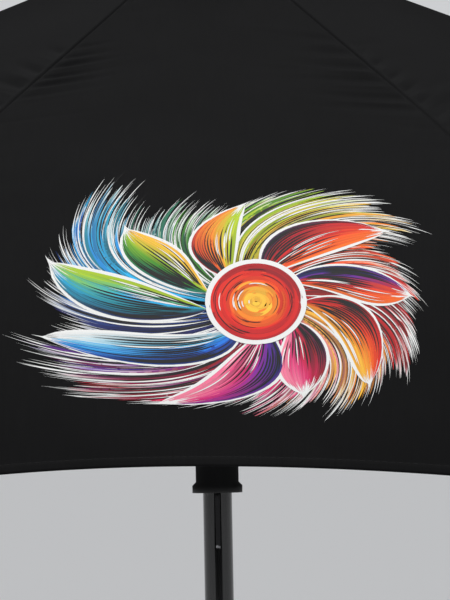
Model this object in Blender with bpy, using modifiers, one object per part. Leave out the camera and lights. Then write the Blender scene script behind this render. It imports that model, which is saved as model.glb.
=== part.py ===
"""An open stick umbrella: eight sprung ribs and stretchers, a sliding runner, a fabric canopy in eight gores
and a crook handle. Metres, +Z up. The origin is the middle of the grip, on the shaft's axis, and the front
gore faces -Y. Each gore is in two halves that meet at its centre fold, because one half folds with each rib.
"""

import math

import bmesh
import bpy
from mathutils import Matrix, Vector

# Driving dimensions of the opened frame
RIBS = 8
FIRST_RIB_DEG = -112.5
RIB_STEP_DEG = 360.0 / RIBS
HALF_STEP = math.radians(RIB_STEP_DEG / 2)
CROWN_Z = 0.665
PIVOT_RADIUS = 0.011
TIP_RADIUS = 0.512
DROP_BY_POWER = (0.42, -0.21, 0.25)
FOLD_DEG = 62.0
PIECE_GAP = 0.0003

# Ribs, their tips and their stretchers
RIB_WIDTH = 0.003
RIB_DEPTH = 0.0026
RIB_WALL = 0.0005
CENTRE_STATIONS = (0.0075, 0.0105, 0.0135, 0.018, 0.026)
EVEN_STATIONS = 16
EYE_RADIUS = 0.002
EYE_HOLE = 0.0009
EYE_SIDES = 10
PIN_RADIUS = 0.0005
JOINT_SHARE = 0.42
JOINT_BELOW_RIB = 0.0034
EAR_INNER = 0.0012
EAR_THICKNESS = 0.0008
EAR_LENGTH = 0.0052
STRETCHER_WIDTH = 0.0018
STRETCHER_DEPTH = 0.0024
STRETCHER_EYE = 0.0017
TIP_CAP_LENGTH = 0.009
TIP_CAP_RADIUS = 0.0023

# Canopy
FABRIC = 0.0006
FABRIC_CLEAR = RIB_DEPTH / 2 + PIECE_GAP + FABRIC / 2
CENTRE_LIFT = 0.0022
CENTRE_LIFT_AT = 0.009
CENTRE_LIFT_WIDTH = 0.009
SCALLOP = 0.07
SAG = 0.028
GORE_ACROSS = 4
SEAM_GAP = PIECE_GAP / 2

# Shaft, crown and runner
SHAFT_RADIUS = 0.006
SHAFT_WALL = 0.0008
SHAFT_BORE = SHAFT_RADIUS + PIECE_GAP
SHAFT_ABOVE_CROWN = 0.010
NOTCH_RADIUS = 0.014
NOTCH_HUB = 0.0084
NOTCH_TOP = 0.0014
NOTCH_TEETH = 0.0075
NOTCH_HEIGHT = 0.016
NOTCH_SLOT = 0.0036
CAP_RADIUS = 0.0155
RUNNER_BORE = 0.0064
RUNNER_SLEEVE = 0.0089
RUNNER_GALLERY = 0.014
RUNNER_SLOT = 0.0028
RUNNER_BELOW = 0.070
RUNNER_FOOT = 0.0104
RUNNER_FOOT_HEIGHT = 0.003
KEYWAY_WIDTH = 0.0034
KEYWAY_REACH = 0.0083
LATCH_WIDTH = 0.002
LATCH_LENGTH = 0.022
LATCH_REACH = 0.0079
LATCH_DEG = -90.0

# Ferrule and handle
FERRULE_LENGTH = 0.074
FERRULE_TIP_LENGTH = 0.018
GRIP_TOP = 0.047
GRIP_BOTTOM = -0.048
GRIP_RADIUS = 0.0115
COLLAR_RADIUS = 0.0118
COLLAR_HEIGHT = 0.014
BUTTON_WIDTH = 0.007
BUTTON_HEIGHT = 0.014
BUTTON_MIDDLE = 0.030
BUTTON_PROUD = 0.0017
BUTTON_DEPTH = 0.0044
BUTTON_TRAVEL = 0.0014
CROOK_RADIUS = 0.040
CROOK_RISE = 0.014
CROOK_STATIONS = 14
CROOK_DEG = 0.0

# Tie strap, sewn to the seam over one rib
STRAP_RIB = 5
STRAP_WIDTH = 0.018
STRAP_FROM = 0.60
STRAP_TO = 0.90
STRAP_THICKNESS = 0.0012
STRAP_STATIONS = 8

# Name, colour, roughness, metallic
MATERIALS = {
    "canopy_fabric": ((0.012, 0.012, 0.013), 0.62, 0.0),
    "black_steel": ((0.015, 0.015, 0.016), 0.35, 0.6),
    "bright_steel": ((0.62, 0.62, 0.64), 0.25, 1.0),
    "black_plastic": ((0.012, 0.012, 0.012), 0.45, 0.0),
    "soft_grip": ((0.018, 0.018, 0.019), 0.7, 0.0),
    "strap_fabric": ((0.012, 0.012, 0.013), 0.7, 0.0),
}


def rib_drop(radius):
    """How far the rib's line falls from the axis to this radius."""
    share = radius / TIP_RADIUS
    return TIP_RADIUS * sum(c * share ** (n + 1) for n, c in enumerate(DROP_BY_POWER))


def rib_slope(radius):
    share = radius / TIP_RADIUS
    return sum(c * (n + 1) * share**n for n, c in enumerate(DROP_BY_POWER))


def rib_height(radius):
    """Height of the rib's centre line above the pivots."""
    return rib_drop(PIVOT_RADIUS) - rib_drop(radius)


def fabric_height(radius):
    """Height of the fabric's middle surface over a rib, clear of its edges and lifted over the crown."""
    slope = rib_slope(radius)
    rise = FABRIC_CLEAR * math.hypot(1.0, slope)
    rise += RIB_WIDTH / 2 * (slope * math.tan(HALF_STEP) + 4 * SAG)
    away = (radius - CENTRE_LIFT_AT) / CENTRE_LIFT_WIDTH
    lift = CENTRE_LIFT * math.exp(-away * away) if away > 0 else CENTRE_LIFT
    return rib_height(radius) + rise + lift


def joint_point():
    """(radius, height above the pivots) of the rivet that joins a stretcher to its rib."""
    radius = TIP_RADIUS * JOINT_SHARE
    fall = math.atan(rib_slope(radius))
    return (
        radius - JOINT_BELOW_RIB * math.sin(fall),
        rib_height(radius) - JOINT_BELOW_RIB * math.cos(fall),
    )


JOINT_RADIUS, JOINT_HEIGHT = joint_point()
ARM = math.hypot(JOINT_RADIUS - PIVOT_RADIUS, JOINT_HEIGHT)
ARM_FALL = math.atan2(-JOINT_HEIGHT, JOINT_RADIUS - PIVOT_RADIUS)
RUNNER_OPEN = 2 * ARM * math.sin(ARM_FALL)
RUNNER_CLOSED = 2 * ARM * math.sin(ARM_FALL + math.radians(FOLD_DEG))


STATIONS = [*CENTRE_STATIONS]
STATIONS += [
    STATIONS[-1] + (TIP_RADIUS - STATIONS[-1]) * (i + 1) / EVEN_STATIONS
    for i in range(EVEN_STATIONS)
]


def start_scene():
    for obj in list(bpy.data.objects):
        bpy.data.objects.remove(obj)
    made = {}
    for name in ("stick_umbrella", "cutters"):
        made[name] = bpy.data.collections.new(name)
        bpy.context.scene.collection.children.link(made[name])
    return made["stick_umbrella"], made["cutters"]


def material(name):
    found = bpy.data.materials.get(name)
    if found:
        return found
    colour, roughness, metallic = MATERIALS[name]
    found = bpy.data.materials.new(name)
    found.use_nodes = True
    shader = found.node_tree.nodes["Principled BSDF"]
    shader.inputs["Base Color"].default_value = (*colour, 1.0)
    shader.inputs["Roughness"].default_value = roughness
    shader.inputs["Metallic"].default_value = metallic
    return found


def add(name, mesh, finish, collection, matrix=Matrix.Identity(4)):
    obj = bpy.data.objects.new(name, mesh)
    if not mesh.materials:
        mesh.materials.append(material(finish))
    collection.objects.link(obj)
    obj.matrix_world = matrix
    return obj


def mesh_from(bm, name):
    mesh = bpy.data.meshes.new(name)
    bm.to_mesh(mesh)
    bm.free()
    return mesh


def baked(obj, remove=()):
    """The object's evaluated mesh with its doubles merged. The object and its helpers are removed."""
    bpy.context.view_layer.update()
    graph = bpy.context.evaluated_depsgraph_get()
    mesh = bpy.data.meshes.new_from_object(obj.evaluated_get(graph))
    bm = bmesh.new()
    bm.from_mesh(mesh)
    bmesh.ops.remove_doubles(bm, verts=bm.verts, dist=1e-6)
    bm.to_mesh(mesh)
    bm.free()
    for gone in (obj, *remove):
        bpy.data.objects.remove(gone)
    mesh.materials.clear()
    return mesh


def boolean(obj, other, operation):
    modifier = obj.modifiers.new(operation.lower(), "BOOLEAN")
    modifier.operation = operation
    modifier.object = other
    other.hide_render = True
    other.display_type = "WIRE"


def plate(name, loops, width, collection):
    """A flat plate, centred on its plane, whose edges are closed loops of (along, up) points."""
    curve = bpy.data.curves.new(name, "CURVE")
    curve.dimensions = "2D"
    curve.fill_mode = "BOTH"
    curve.extrude = width / 2
    for points in loops:
        spline = curve.splines.new("POLY")
        spline.points.add(len(points) - 1)
        for at, (along, up) in zip(spline.points, points):
            at.co = (along, up, 0.0, 1.0)
        spline.use_cyclic_u = True
    obj = bpy.data.objects.new(name, curve)
    collection.objects.link(obj)
    obj.matrix_world = Matrix.Rotation(math.pi / 2, 4, "X")
    mesh = baked(obj)
    mesh.transform(Matrix.Rotation(math.pi / 2, 4, "X"))
    return mesh


def ring_points(centre, radius, sides, first=0.0, turn=math.tau):
    steps = sides if abs(turn - math.tau) < 1e-9 else sides - 1
    return [
        (
            centre[0] + radius * math.cos(first + turn * i / steps),
            centre[1] + radius * math.sin(first + turn * i / steps),
        )
        for i in range(sides)
    ]


def turned(name, profile, steps, collection):
    """A closed solid turned about Z, from a closed profile of (radius, height) that runs down its outer side."""
    bm = bmesh.new()
    verts = [bm.verts.new((radius, 0.0, height)) for radius, height in profile]
    for a, b in zip(verts, verts[1:]):
        bm.edges.new((a, b))
    if profile[0][0] > 0:
        bm.edges.new((verts[-1], verts[0]))
    obj = bpy.data.objects.new(name, mesh_from(bm, name))
    collection.objects.link(obj)
    screw = obj.modifiers.new("turn", "SCREW")
    screw.steps = steps
    screw.render_steps = steps
    screw.use_merge_vertices = True
    screw.merge_threshold = 1e-6
    screw.use_normal_calculate = True
    mesh = baked(obj)
    bm = bmesh.new()
    bm.from_mesh(mesh)
    bmesh.ops.recalc_face_normals(bm, faces=bm.faces)
    bm.to_mesh(mesh)
    bm.free()
    mesh.shade_smooth()
    mesh.set_sharp_from_angle(angle=math.radians(35))
    return mesh


def box(name, low, high, collection, matrix=Matrix.Identity(4)):
    bm = bmesh.new()
    bmesh.ops.create_cube(bm, size=1.0)
    for vert in bm.verts:
        vert.co = [
            (lo + hi) / 2 + at * (hi - lo) for lo, hi, at in zip(low, high, vert.co)
        ]
    bm.transform(matrix)
    obj = bpy.data.objects.new(name, mesh_from(bm, name))
    collection.objects.link(obj)
    return obj


def rod(name, start, end, radius, sides, collection):
    bm = bmesh.new()
    line = Vector(end) - Vector(start)
    bmesh.ops.create_cone(
        bm,
        cap_ends=True,
        segments=sides,
        radius1=radius,
        radius2=radius,
        depth=line.length,
        matrix=Matrix.Translation((Vector(start) + Vector(end)) / 2)
        @ line.to_track_quat("Z", "Y").to_matrix().to_4x4(),
    )
    obj = bpy.data.objects.new(name, mesh_from(bm, name))
    collection.objects.link(obj)
    return obj


def rib_matrix(number):
    """Takes the plane of +X and +Z through the pivots' height to the plane of this rib, counted from 1."""
    turn = math.radians(FIRST_RIB_DEG + RIB_STEP_DEG * (number - 1))
    return Matrix.Translation((0, 0, CROWN_Z)) @ Matrix.Rotation(turn, 4, "Z")


def beside_rib(radii, above):
    """Points at this distance above the rib's centre line, in the plane of +X and +Z."""
    points = []
    for radius in radii:
        fall = math.atan(rib_slope(radius))
        points.append(
            (radius + above * math.sin(fall), rib_height(radius) + above * math.cos(fall))
        )
    return points


def rib_mesh(cutters):
    """One rib in the plane of +X and +Z: a channel, open below, with its eye at the pivot and two ears."""
    start = PIVOT_RADIUS + EYE_RADIUS * 0.8
    radii = [start] + [radius for radius in STATIONS if radius > start + RIB_DEPTH]
    half_open = math.asin(RIB_DEPTH / 2 / EYE_RADIUS)
    fall = math.atan(rib_slope(PIVOT_RADIUS))
    eye = ring_points(
        (PIVOT_RADIUS, 0.0),
        EYE_RADIUS,
        EYE_SIDES,
        -fall - half_open,
        -(math.tau - 2 * half_open),
    )
    outline = beside_rib(radii, RIB_DEPTH / 2)
    outline += list(reversed(beside_rib(radii, -RIB_DEPTH / 2))) + eye
    hole = ring_points((PIVOT_RADIUS, 0.0), EYE_HOLE, EYE_SIDES)
    bar_mesh = plate("rib_bar", [outline, hole], RIB_WIDTH, cutters)
    bar = add("rib_bar", bar_mesh, "black_steel", cutters)
    inside = [start + RIB_DEPTH] + radii[1:-1] + [TIP_RADIUS + RIB_DEPTH]
    hollow = beside_rib(inside, RIB_DEPTH / 2 - RIB_WALL)
    hollow += list(reversed(beside_rib(inside, -RIB_DEPTH)))
    channel_mesh = plate("channel", [hollow], RIB_WIDTH - 2 * RIB_WALL, cutters)
    channel = add("channel", channel_mesh, "black_steel", cutters)
    boolean(bar, channel, "DIFFERENCE")
    joint = Vector((JOINT_RADIUS, 0.0, JOINT_HEIGHT))
    lean = Matrix.Translation(joint) @ Matrix.Rotation(
        math.atan(rib_slope(JOINT_RADIUS)), 4, "Y"
    )
    helpers = []
    for sign in (1, -1):
        sides_y = sorted((sign * EAR_INNER, sign * (EAR_INNER + EAR_THICKNESS)))
        helpers.append(
            box(
                "ear",
                (-EAR_LENGTH / 2, sides_y[0], -EAR_INNER * 1.6),
                (EAR_LENGTH / 2, sides_y[1], JOINT_BELOW_RIB + RIB_DEPTH * 0.2),
                cutters,
                lean,
            )
        )
    reach = EAR_INNER + EAR_THICKNESS * 0.7
    helpers.append(
        rod(
            "rivet",
            joint - Vector((0, reach, 0)),
            joint + Vector((0, reach, 0)),
            PIN_RADIUS,
            8,
            cutters,
        )
    )
    for helper in helpers:
        boolean(bar, helper, "UNION")
    return baked(bar, [channel, *helpers])


def stretcher_mesh(cutters):
    """One stretcher in the plane of +X and +Z, from the runner's pivot up to the rib's rivet."""
    inner, outer = (PIVOT_RADIUS, -RUNNER_OPEN), (JOINT_RADIUS, JOINT_HEIGHT)
    rise = math.atan2(outer[1] - inner[1], outer[0] - inner[0])
    half_open = math.asin(STRETCHER_DEPTH / 2 / STRETCHER_EYE)
    around = math.tau - 2 * half_open
    ends = [
        ring_points(
            inner, STRETCHER_EYE, EYE_SIDES, rise + half_open, around
        ),
        ring_points(
            outer, STRETCHER_EYE, EYE_SIDES, rise + math.pi + half_open, around
        ),
    ]
    loops = [ends[0] + ends[1]]
    loops += [ring_points(centre, EYE_HOLE, EYE_SIDES) for centre in (inner, outer)]
    return plate("stretcher", loops, STRETCHER_WIDTH, cutters)


def tip_cap_mesh(cutters):
    """The rounded cap on a rib's end, turned about Z and then laid along the rib."""
    straight = TIP_CAP_LENGTH - TIP_CAP_RADIUS
    profile = [(0.0, TIP_CAP_LENGTH)]
    profile += [
        (
            TIP_CAP_RADIUS * math.sin(math.radians(a)),
            straight + TIP_CAP_RADIUS * math.cos(math.radians(a)),
        )
        for a in (35, 65, 90)
    ]
    profile += [(TIP_CAP_RADIUS * 0.8, 0.0), (0.0, 0.0)]
    mesh = turned("tip_cap", profile, 10, cutters)
    fall = math.atan(rib_slope(TIP_RADIUS))
    end = Vector(
        (
            TIP_RADIUS + PIECE_GAP * math.cos(fall),
            0.0,
            rib_height(TIP_RADIUS) - PIECE_GAP * math.sin(fall),
        )
    )
    mesh.transform(
        Matrix.Translation(end) @ Matrix.Rotation(math.pi / 2 + fall, 4, "Y")
    )
    return mesh


def canopy_point(station, across, side):
    """A point of the fabric's middle surface, over the rib in the plane of +X and +Z.

    station is the radius where its line of cloth leaves the rib. across runs from 0 at the rib to 1 at the
    gore's centre fold. side is 1 or -1 for the gore on the +Y or the -Y side of the rib.
    """
    to_fold = 1 - (1 - across) ** 2
    share = (station - STATIONS[0]) / (TIP_RADIUS - STATIONS[0])
    radius = station - SCALLOP * TIP_RADIUS * to_fold * share
    height = fabric_height(radius)
    turn = side * 2 * HALF_STEP
    over_rib = Vector((radius, 0.0, height))
    over_next = Vector((radius * math.cos(turn), radius * math.sin(turn), height))
    at = over_rib.lerp(over_next, across / 2)
    fall = math.atan(rib_slope(radius) / math.cos(HALF_STEP))
    inward = Vector(
        (
            -math.sin(fall) * math.cos(turn / 2),
            -math.sin(fall) * math.sin(turn / 2),
            -math.cos(fall),
        )
    )
    chord = 2 * radius * math.sin(HALF_STEP)
    depth = SAG * chord * (radius / TIP_RADIUS) ** 1.5 * to_fold
    return at + inward * depth


def half_gore_mesh(side):
    """Half of a gore as an open sheet: a grid laid on the canopy's surface, between the rib and the fold."""
    bm = bmesh.new()
    lines = len(STATIONS) - 1
    bmesh.ops.create_grid(bm, x_segments=lines, y_segments=GORE_ACROSS, size=0.5)
    fold_normal = Vector(
        (math.sin(HALF_STEP), -side * math.cos(HALF_STEP), 0.0)
    )
    for vert in bm.verts:
        station, across = STATIONS[round((vert.co.x + 0.5) * lines)], vert.co.y + 0.5
        at = canopy_point(station, across, side)
        from_rib = Vector((0.0, side * SEAM_GAP, 0.0))
        vert.co = at + from_rib * (1 - across) + fold_normal * SEAM_GAP * across
    if side < 0:
        bmesh.ops.reverse_faces(bm, faces=bm.faces)
    mesh = mesh_from(bm, "half_gore")
    mesh.shade_smooth()
    return mesh


def add_half_gore(number, half, rib, mesh, collection):
    obj = add(
        f"gore_{number}_{half}", mesh, "canopy_fabric", collection, rib_matrix(rib)
    )
    shell = obj.modifiers.new("fabric", "SOLIDIFY")
    shell.thickness = FABRIC
    shell.offset = 0.0
    return obj


def make_canopy(collection):
    meshes = {side: half_gore_mesh(side) for side in (1, -1)}
    for number in range(1, RIBS + 1):
        add_half_gore(number, "left", number, meshes[1], collection)
        add_half_gore(number, "right", number % RIBS + 1, meshes[-1], collection)


def make_arms(collection, cutters):
    """Ribs, their tip caps and their stretchers, one set for each rib."""
    kinds = (
        ("rib", rib_mesh(cutters), "black_steel"),
        ("rib_tip", tip_cap_mesh(cutters), "black_plastic"),
        ("stretcher", stretcher_mesh(cutters), "black_steel"),
    )
    for number in range(1, RIBS + 1):
        for name, mesh, finish in kinds:
            add(f"{name}_{number}", mesh, finish, collection, rib_matrix(number))


def slotted(name, mesh, slot, inner, low, high, finish, cutters):
    """The turned mesh with one radial slot for each rib, cut from the inner radius out."""
    body = add(name + "_blank", mesh, finish, cutters)
    helpers = [
        box(
            "slot",
            (inner, -slot / 2, low),
            (0.03, slot / 2, high),
            cutters,
            Matrix.Rotation(
                math.radians(FIRST_RIB_DEG + RIB_STEP_DEG * i), 4, "Z"
            ),
        )
        for i in range(RIBS)
    ]
    for helper in helpers:
        boolean(body, helper, "DIFFERENCE")
    return body, helpers


def make_crown(collection, cutters):
    """The notched crown that the ribs are wired to. The wire shows as a pin across each slot."""
    profile = [
        (NOTCH_RADIUS, NOTCH_TOP),
        (NOTCH_RADIUS, NOTCH_TOP - NOTCH_TEETH),
        (NOTCH_HUB, NOTCH_TOP - NOTCH_TEETH - 0.001),
        (NOTCH_HUB, NOTCH_TOP - NOTCH_HEIGHT),
        (SHAFT_BORE, NOTCH_TOP - NOTCH_HEIGHT),
        (SHAFT_BORE, NOTCH_TOP),
    ]
    blank = turned("crown", profile, 32, cutters)
    body, helpers = slotted(
        "crown", blank, NOTCH_SLOT, NOTCH_HUB, -0.02, 0.02, "black_plastic", cutters
    )
    for i in range(RIBS):
        turn = Matrix.Rotation(math.radians(FIRST_RIB_DEG + RIB_STEP_DEG * i), 4, "Z")
        reach = NOTCH_SLOT / 2 + 0.0006
        pin = rod(
            "wire",
            turn @ Vector((PIVOT_RADIUS, -reach, 0.0)),
            turn @ Vector((PIVOT_RADIUS, reach, 0.0)),
            PIN_RADIUS,
            8,
            cutters,
        )
        helpers.append(pin)
        boolean(body, pin, "UNION")
    mesh = baked(body, helpers)
    add(
        "crown_notch",
        mesh,
        "black_plastic",
        collection,
        Matrix.Translation((0, 0, CROWN_Z)),
    )


def make_runner(collection, cutters):
    """The slotted runner. Its keyway lets it pass over the latches on the shaft."""
    half = 0.004
    profile = [
        (RUNNER_GALLERY, half),
        (RUNNER_GALLERY, -half),
        (RUNNER_SLEEVE, -half - 0.002),
        (RUNNER_SLEEVE, RUNNER_FOOT_HEIGHT * 1.5 - RUNNER_BELOW),
        (RUNNER_FOOT, RUNNER_FOOT_HEIGHT - RUNNER_BELOW),
        (RUNNER_FOOT, -RUNNER_BELOW),
        (RUNNER_BORE, -RUNNER_BELOW),
        (RUNNER_BORE, half),
    ]
    blank = turned("runner", profile, 32, cutters)
    body, helpers = slotted(
        "runner",
        blank,
        RUNNER_SLOT,
        RUNNER_SLEEVE,
        -0.012,
        0.012,
        "black_plastic",
        cutters,
    )
    keyway = box(
        "keyway",
        (0.0, -KEYWAY_WIDTH / 2, -RUNNER_BELOW - 0.01),
        (KEYWAY_REACH, KEYWAY_WIDTH / 2, 0.01),
        cutters,
        Matrix.Rotation(math.radians(LATCH_DEG), 4, "Z"),
    )
    helpers.append(keyway)
    boolean(body, keyway, "DIFFERENCE")
    mesh = baked(body, helpers)
    add(
        "runner",
        mesh,
        "black_plastic",
        collection,
        Matrix.Translation((0, 0, CROWN_Z - RUNNER_OPEN)),
    )


def make_latch(name, top, collection, cutters):
    """A spring blade that stands out of the shaft, flat at its top end, where the runner's foot rests."""
    outline = [
        (SHAFT_RADIUS + PIECE_GAP, top),
        (LATCH_REACH, top),
        (LATCH_REACH, top - LATCH_LENGTH * 0.12),
        (SHAFT_RADIUS + PIECE_GAP * 2, top - LATCH_LENGTH),
        (SHAFT_RADIUS + PIECE_GAP, top - LATCH_LENGTH),
    ]
    mesh = plate(name, [outline], LATCH_WIDTH, cutters)
    turn = Matrix.Rotation(math.radians(LATCH_DEG), 4, "Z")
    add(name, mesh, "bright_steel", collection, turn)


def make_shaft(collection, cutters):
    top = CROWN_Z + SHAFT_ABOVE_CROWN
    foot = GRIP_TOP + PIECE_GAP
    inner = SHAFT_RADIUS - SHAFT_WALL
    profile = [(SHAFT_RADIUS, top), (SHAFT_RADIUS, foot), (inner, foot), (inner, top)]
    add("shaft", turned("shaft", profile, 24, cutters), "black_steel", collection)
    runner_foot = CROWN_Z - RUNNER_OPEN - RUNNER_BELOW
    make_latch("upper_latch", runner_foot - PIECE_GAP, collection, cutters)
    closed_foot = CROWN_Z - RUNNER_CLOSED - RUNNER_BELOW
    make_latch("lower_latch", closed_foot + LATCH_LENGTH * 1.5, collection, cutters)


def make_top(collection, cutters):
    """The cap over the canopy's centre, the ferrule and its metal tip."""
    over_fabric = FABRIC / 2 + PIECE_GAP * 2
    seat = [(at, fabric_height(at) + over_fabric) for at in CENTRE_STATIONS[:3]]
    foot = fabric_height(CAP_RADIUS) + over_fabric
    cap = [
        (SHAFT_BORE, SHAFT_ABOVE_CROWN),
        (CAP_RADIUS * 0.62, SHAFT_ABOVE_CROWN - 0.0004),
        (CAP_RADIUS * 0.88, seat[1][1] + 0.0014),
        (CAP_RADIUS, foot + 0.0014),
        (CAP_RADIUS, foot),
        *reversed(seat),
        (SHAFT_BORE, seat[0][1]),
    ]
    lift = Matrix.Translation((0, 0, CROWN_Z))
    add("top_cap", turned("top_cap", cap, 24, cutters), "black_plastic", collection, lift)
    foot = SHAFT_ABOVE_CROWN + PIECE_GAP
    ferrule = [
        (0.0, foot + FERRULE_LENGTH),
        (0.0042, foot + FERRULE_LENGTH),
        (0.0058, foot + 0.020),
        (0.0072, foot + 0.009),
        (0.0095, foot + 0.003),
        (0.0095, foot),
        (0.0, foot),
    ]
    add(
        "ferrule",
        turned("ferrule", ferrule, 20, cutters),
        "black_plastic",
        collection,
        lift,
    )
    base = foot + FERRULE_LENGTH + PIECE_GAP
    tip = [
        (0.0, base + FERRULE_TIP_LENGTH),
        (0.0026, base + FERRULE_TIP_LENGTH),
        (0.0034, base + FERRULE_TIP_LENGTH - 0.001),
        (0.0044, base),
        (0.0, base),
    ]
    add(
        "ferrule_tip",
        turned("ferrule_tip", tip, 20, cutters),
        "bright_steel",
        collection,
        lift,
    )


def button_box(name, clear, deeper, collection):
    """The push button's block, made wider all round by clear and longer into the handle by deeper."""
    out = GRIP_RADIUS + BUTTON_PROUD
    return box(
        name,
        (out - BUTTON_DEPTH - deeper, -BUTTON_WIDTH / 2 - clear, BUTTON_MIDDLE - BUTTON_HEIGHT / 2 - clear),
        (out + clear, BUTTON_WIDTH / 2 + clear, BUTTON_MIDDLE + BUTTON_HEIGHT / 2 + clear),
        collection,
        Matrix.Rotation(math.radians(LATCH_DEG), 4, "Z"),
    )


def make_handle(collection, cutters):
    """The crook handle as one bent bar with a round end, its metal collar, and the push button in a pocket."""
    curve = bpy.data.curves.new("crook", "CURVE")
    curve.dimensions = "3D"
    curve.bevel_depth = GRIP_RADIUS
    curve.bevel_resolution = 4
    curve.use_fill_caps = True
    path = [(0.0, GRIP_TOP), (0.0, 0.0), (0.0, GRIP_BOTTOM)]
    path += [
        (
            CROOK_RADIUS * (1 - math.cos(math.pi * i / CROOK_STATIONS)),
            GRIP_BOTTOM - CROOK_RADIUS * math.sin(math.pi * i / CROOK_STATIONS),
        )
        for i in range(1, CROOK_STATIONS + 1)
    ]
    path.append((2 * CROOK_RADIUS, GRIP_BOTTOM + CROOK_RISE))
    round_end = [math.radians(a) for a in (25, 50, 70)]
    path += [
        (2 * CROOK_RADIUS, GRIP_BOTTOM + CROOK_RISE + GRIP_RADIUS * math.sin(a))
        for a in round_end
    ]
    spline = curve.splines.new("POLY")
    spline.points.add(len(path) - 1)
    for at, (out, up) in zip(spline.points, path):
        at.co = (out, 0.0, up, 1.0)
    for at, a in zip(spline.points[-len(round_end) :], round_end):
        at.radius = math.cos(a)
    bar = bpy.data.objects.new("crook", curve)
    cutters.objects.link(bar)
    bar.matrix_world = Matrix.Rotation(math.radians(CROOK_DEG), 4, "Z")
    turn = bar.matrix_world.copy()
    mesh = baked(bar)
    mesh.transform(turn)
    bar = add("crook_bar", mesh, "soft_grip", cutters)
    pocket = button_box("pocket", PIECE_GAP, BUTTON_TRAVEL + PIECE_GAP, cutters)
    boolean(bar, pocket, "DIFFERENCE")
    mesh = baked(bar, [pocket])
    mesh.shade_smooth()
    mesh.set_sharp_from_angle(angle=math.radians(40))
    add("handle", mesh, "soft_grip", collection)
    foot = GRIP_TOP + PIECE_GAP
    collar = [
        (SHAFT_BORE, foot + COLLAR_HEIGHT),
        (COLLAR_RADIUS - 0.0022, foot + COLLAR_HEIGHT),
        (COLLAR_RADIUS, foot + COLLAR_HEIGHT - 0.004),
        (COLLAR_RADIUS, foot),
        (SHAFT_BORE, foot),
    ]
    add(
        "handle_collar",
        turned("handle_collar", collar, 24, cutters),
        "bright_steel",
        collection,
    )
    button = button_box("push_button", 0.0, 0.0, collection)
    button.data.materials.append(material("black_plastic"))
    edges = button.modifiers.new("edges", "BEVEL")
    edges.width = 0.0007
    edges.segments = 2


def make_strap(collection, cutters):
    """The tie strap, lying down the outside of the canopy along the seam that it is sewn to."""
    bm = bmesh.new()
    bmesh.ops.create_grid(bm, x_segments=STRAP_STATIONS, y_segments=1, size=0.5)
    clear = FABRIC / 2 + PIECE_GAP + STRAP_THICKNESS / 2
    for vert in bm.verts:
        share = STRAP_FROM + (STRAP_TO - STRAP_FROM) * (vert.co.x + 0.5)
        radius = share * TIP_RADIUS
        fall = math.atan(rib_slope(radius))
        vert.co = (
            radius + clear * math.sin(fall),
            vert.co.y * STRAP_WIDTH,
            fabric_height(radius) + clear * math.cos(fall),
        )
    mesh = mesh_from(bm, "tie_strap")
    strap = add(
        "tie_strap", mesh, "strap_fabric", collection, rib_matrix(STRAP_RIB)
    )
    shell = strap.modifiers.new("webbing", "SOLIDIFY")
    shell.thickness = STRAP_THICKNESS
    shell.offset = 0.0


def main():
    collection, cutters = start_scene()
    make_shaft(collection, cutters)
    make_crown(collection, cutters)
    make_top(collection, cutters)
    make_runner(collection, cutters)
    make_arms(collection, cutters)
    make_canopy(collection)
    make_handle(collection, cutters)
    make_strap(collection, cutters)


main()
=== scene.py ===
import math
import random
from collections import namedtuple

import bmesh
import bpy
import numpy as np
from mathutils import Matrix, Vector


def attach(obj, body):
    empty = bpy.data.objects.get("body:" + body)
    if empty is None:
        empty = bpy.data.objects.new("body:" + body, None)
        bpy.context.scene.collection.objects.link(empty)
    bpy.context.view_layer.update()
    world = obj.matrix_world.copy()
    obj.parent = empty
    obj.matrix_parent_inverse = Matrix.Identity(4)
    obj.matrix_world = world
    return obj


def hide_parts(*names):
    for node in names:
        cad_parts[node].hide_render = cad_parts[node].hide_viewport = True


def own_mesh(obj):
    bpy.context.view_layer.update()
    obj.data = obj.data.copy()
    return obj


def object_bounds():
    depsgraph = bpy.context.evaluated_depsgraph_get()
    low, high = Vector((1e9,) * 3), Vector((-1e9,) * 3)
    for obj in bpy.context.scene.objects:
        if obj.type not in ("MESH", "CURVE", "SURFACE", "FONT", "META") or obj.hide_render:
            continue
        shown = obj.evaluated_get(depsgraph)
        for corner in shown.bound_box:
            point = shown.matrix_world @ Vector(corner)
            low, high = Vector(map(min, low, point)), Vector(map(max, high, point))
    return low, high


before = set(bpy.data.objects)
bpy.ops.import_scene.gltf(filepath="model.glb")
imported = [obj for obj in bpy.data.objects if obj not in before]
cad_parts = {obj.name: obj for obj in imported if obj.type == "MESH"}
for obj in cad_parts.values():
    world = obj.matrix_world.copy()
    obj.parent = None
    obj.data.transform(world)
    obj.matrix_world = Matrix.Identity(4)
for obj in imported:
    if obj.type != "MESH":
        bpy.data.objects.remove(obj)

CAD_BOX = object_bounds()

# Dimensions of the frame that the pieces are fitted to, in metres, as in the part's source
RIBS = 8
FIRST_RIB_DEG = -112.5
RIB_STEP_DEG = 360.0 / RIBS
HALF_STEP = math.radians(RIB_STEP_DEG / 2)
CROWN_Z = 0.665
PIVOT_RADIUS = 0.011
TIP_RADIUS = 0.512
DROP_BY_POWER = (0.42, -0.21, 0.25)
RIB_WIDTH = 0.003
RIB_DEPTH = 0.0026
PIECE_GAP = 0.0003
CAD_FABRIC = 0.0006
CENTRE_LIFT, CENTRE_LIFT_AT, CENTRE_LIFT_WIDTH = 0.0022, 0.009, 0.009
SCALLOP = 0.07
SAG = 0.028
CENTRE_RADIUS = 0.0075
FABRIC_CLEAR = RIB_DEPTH / 2 + PIECE_GAP + CAD_FABRIC / 2
JOINT_RADIUS, JOINT_HEIGHT = 0.213844, -0.079444
RUNNER_OPEN = 0.158889

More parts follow.
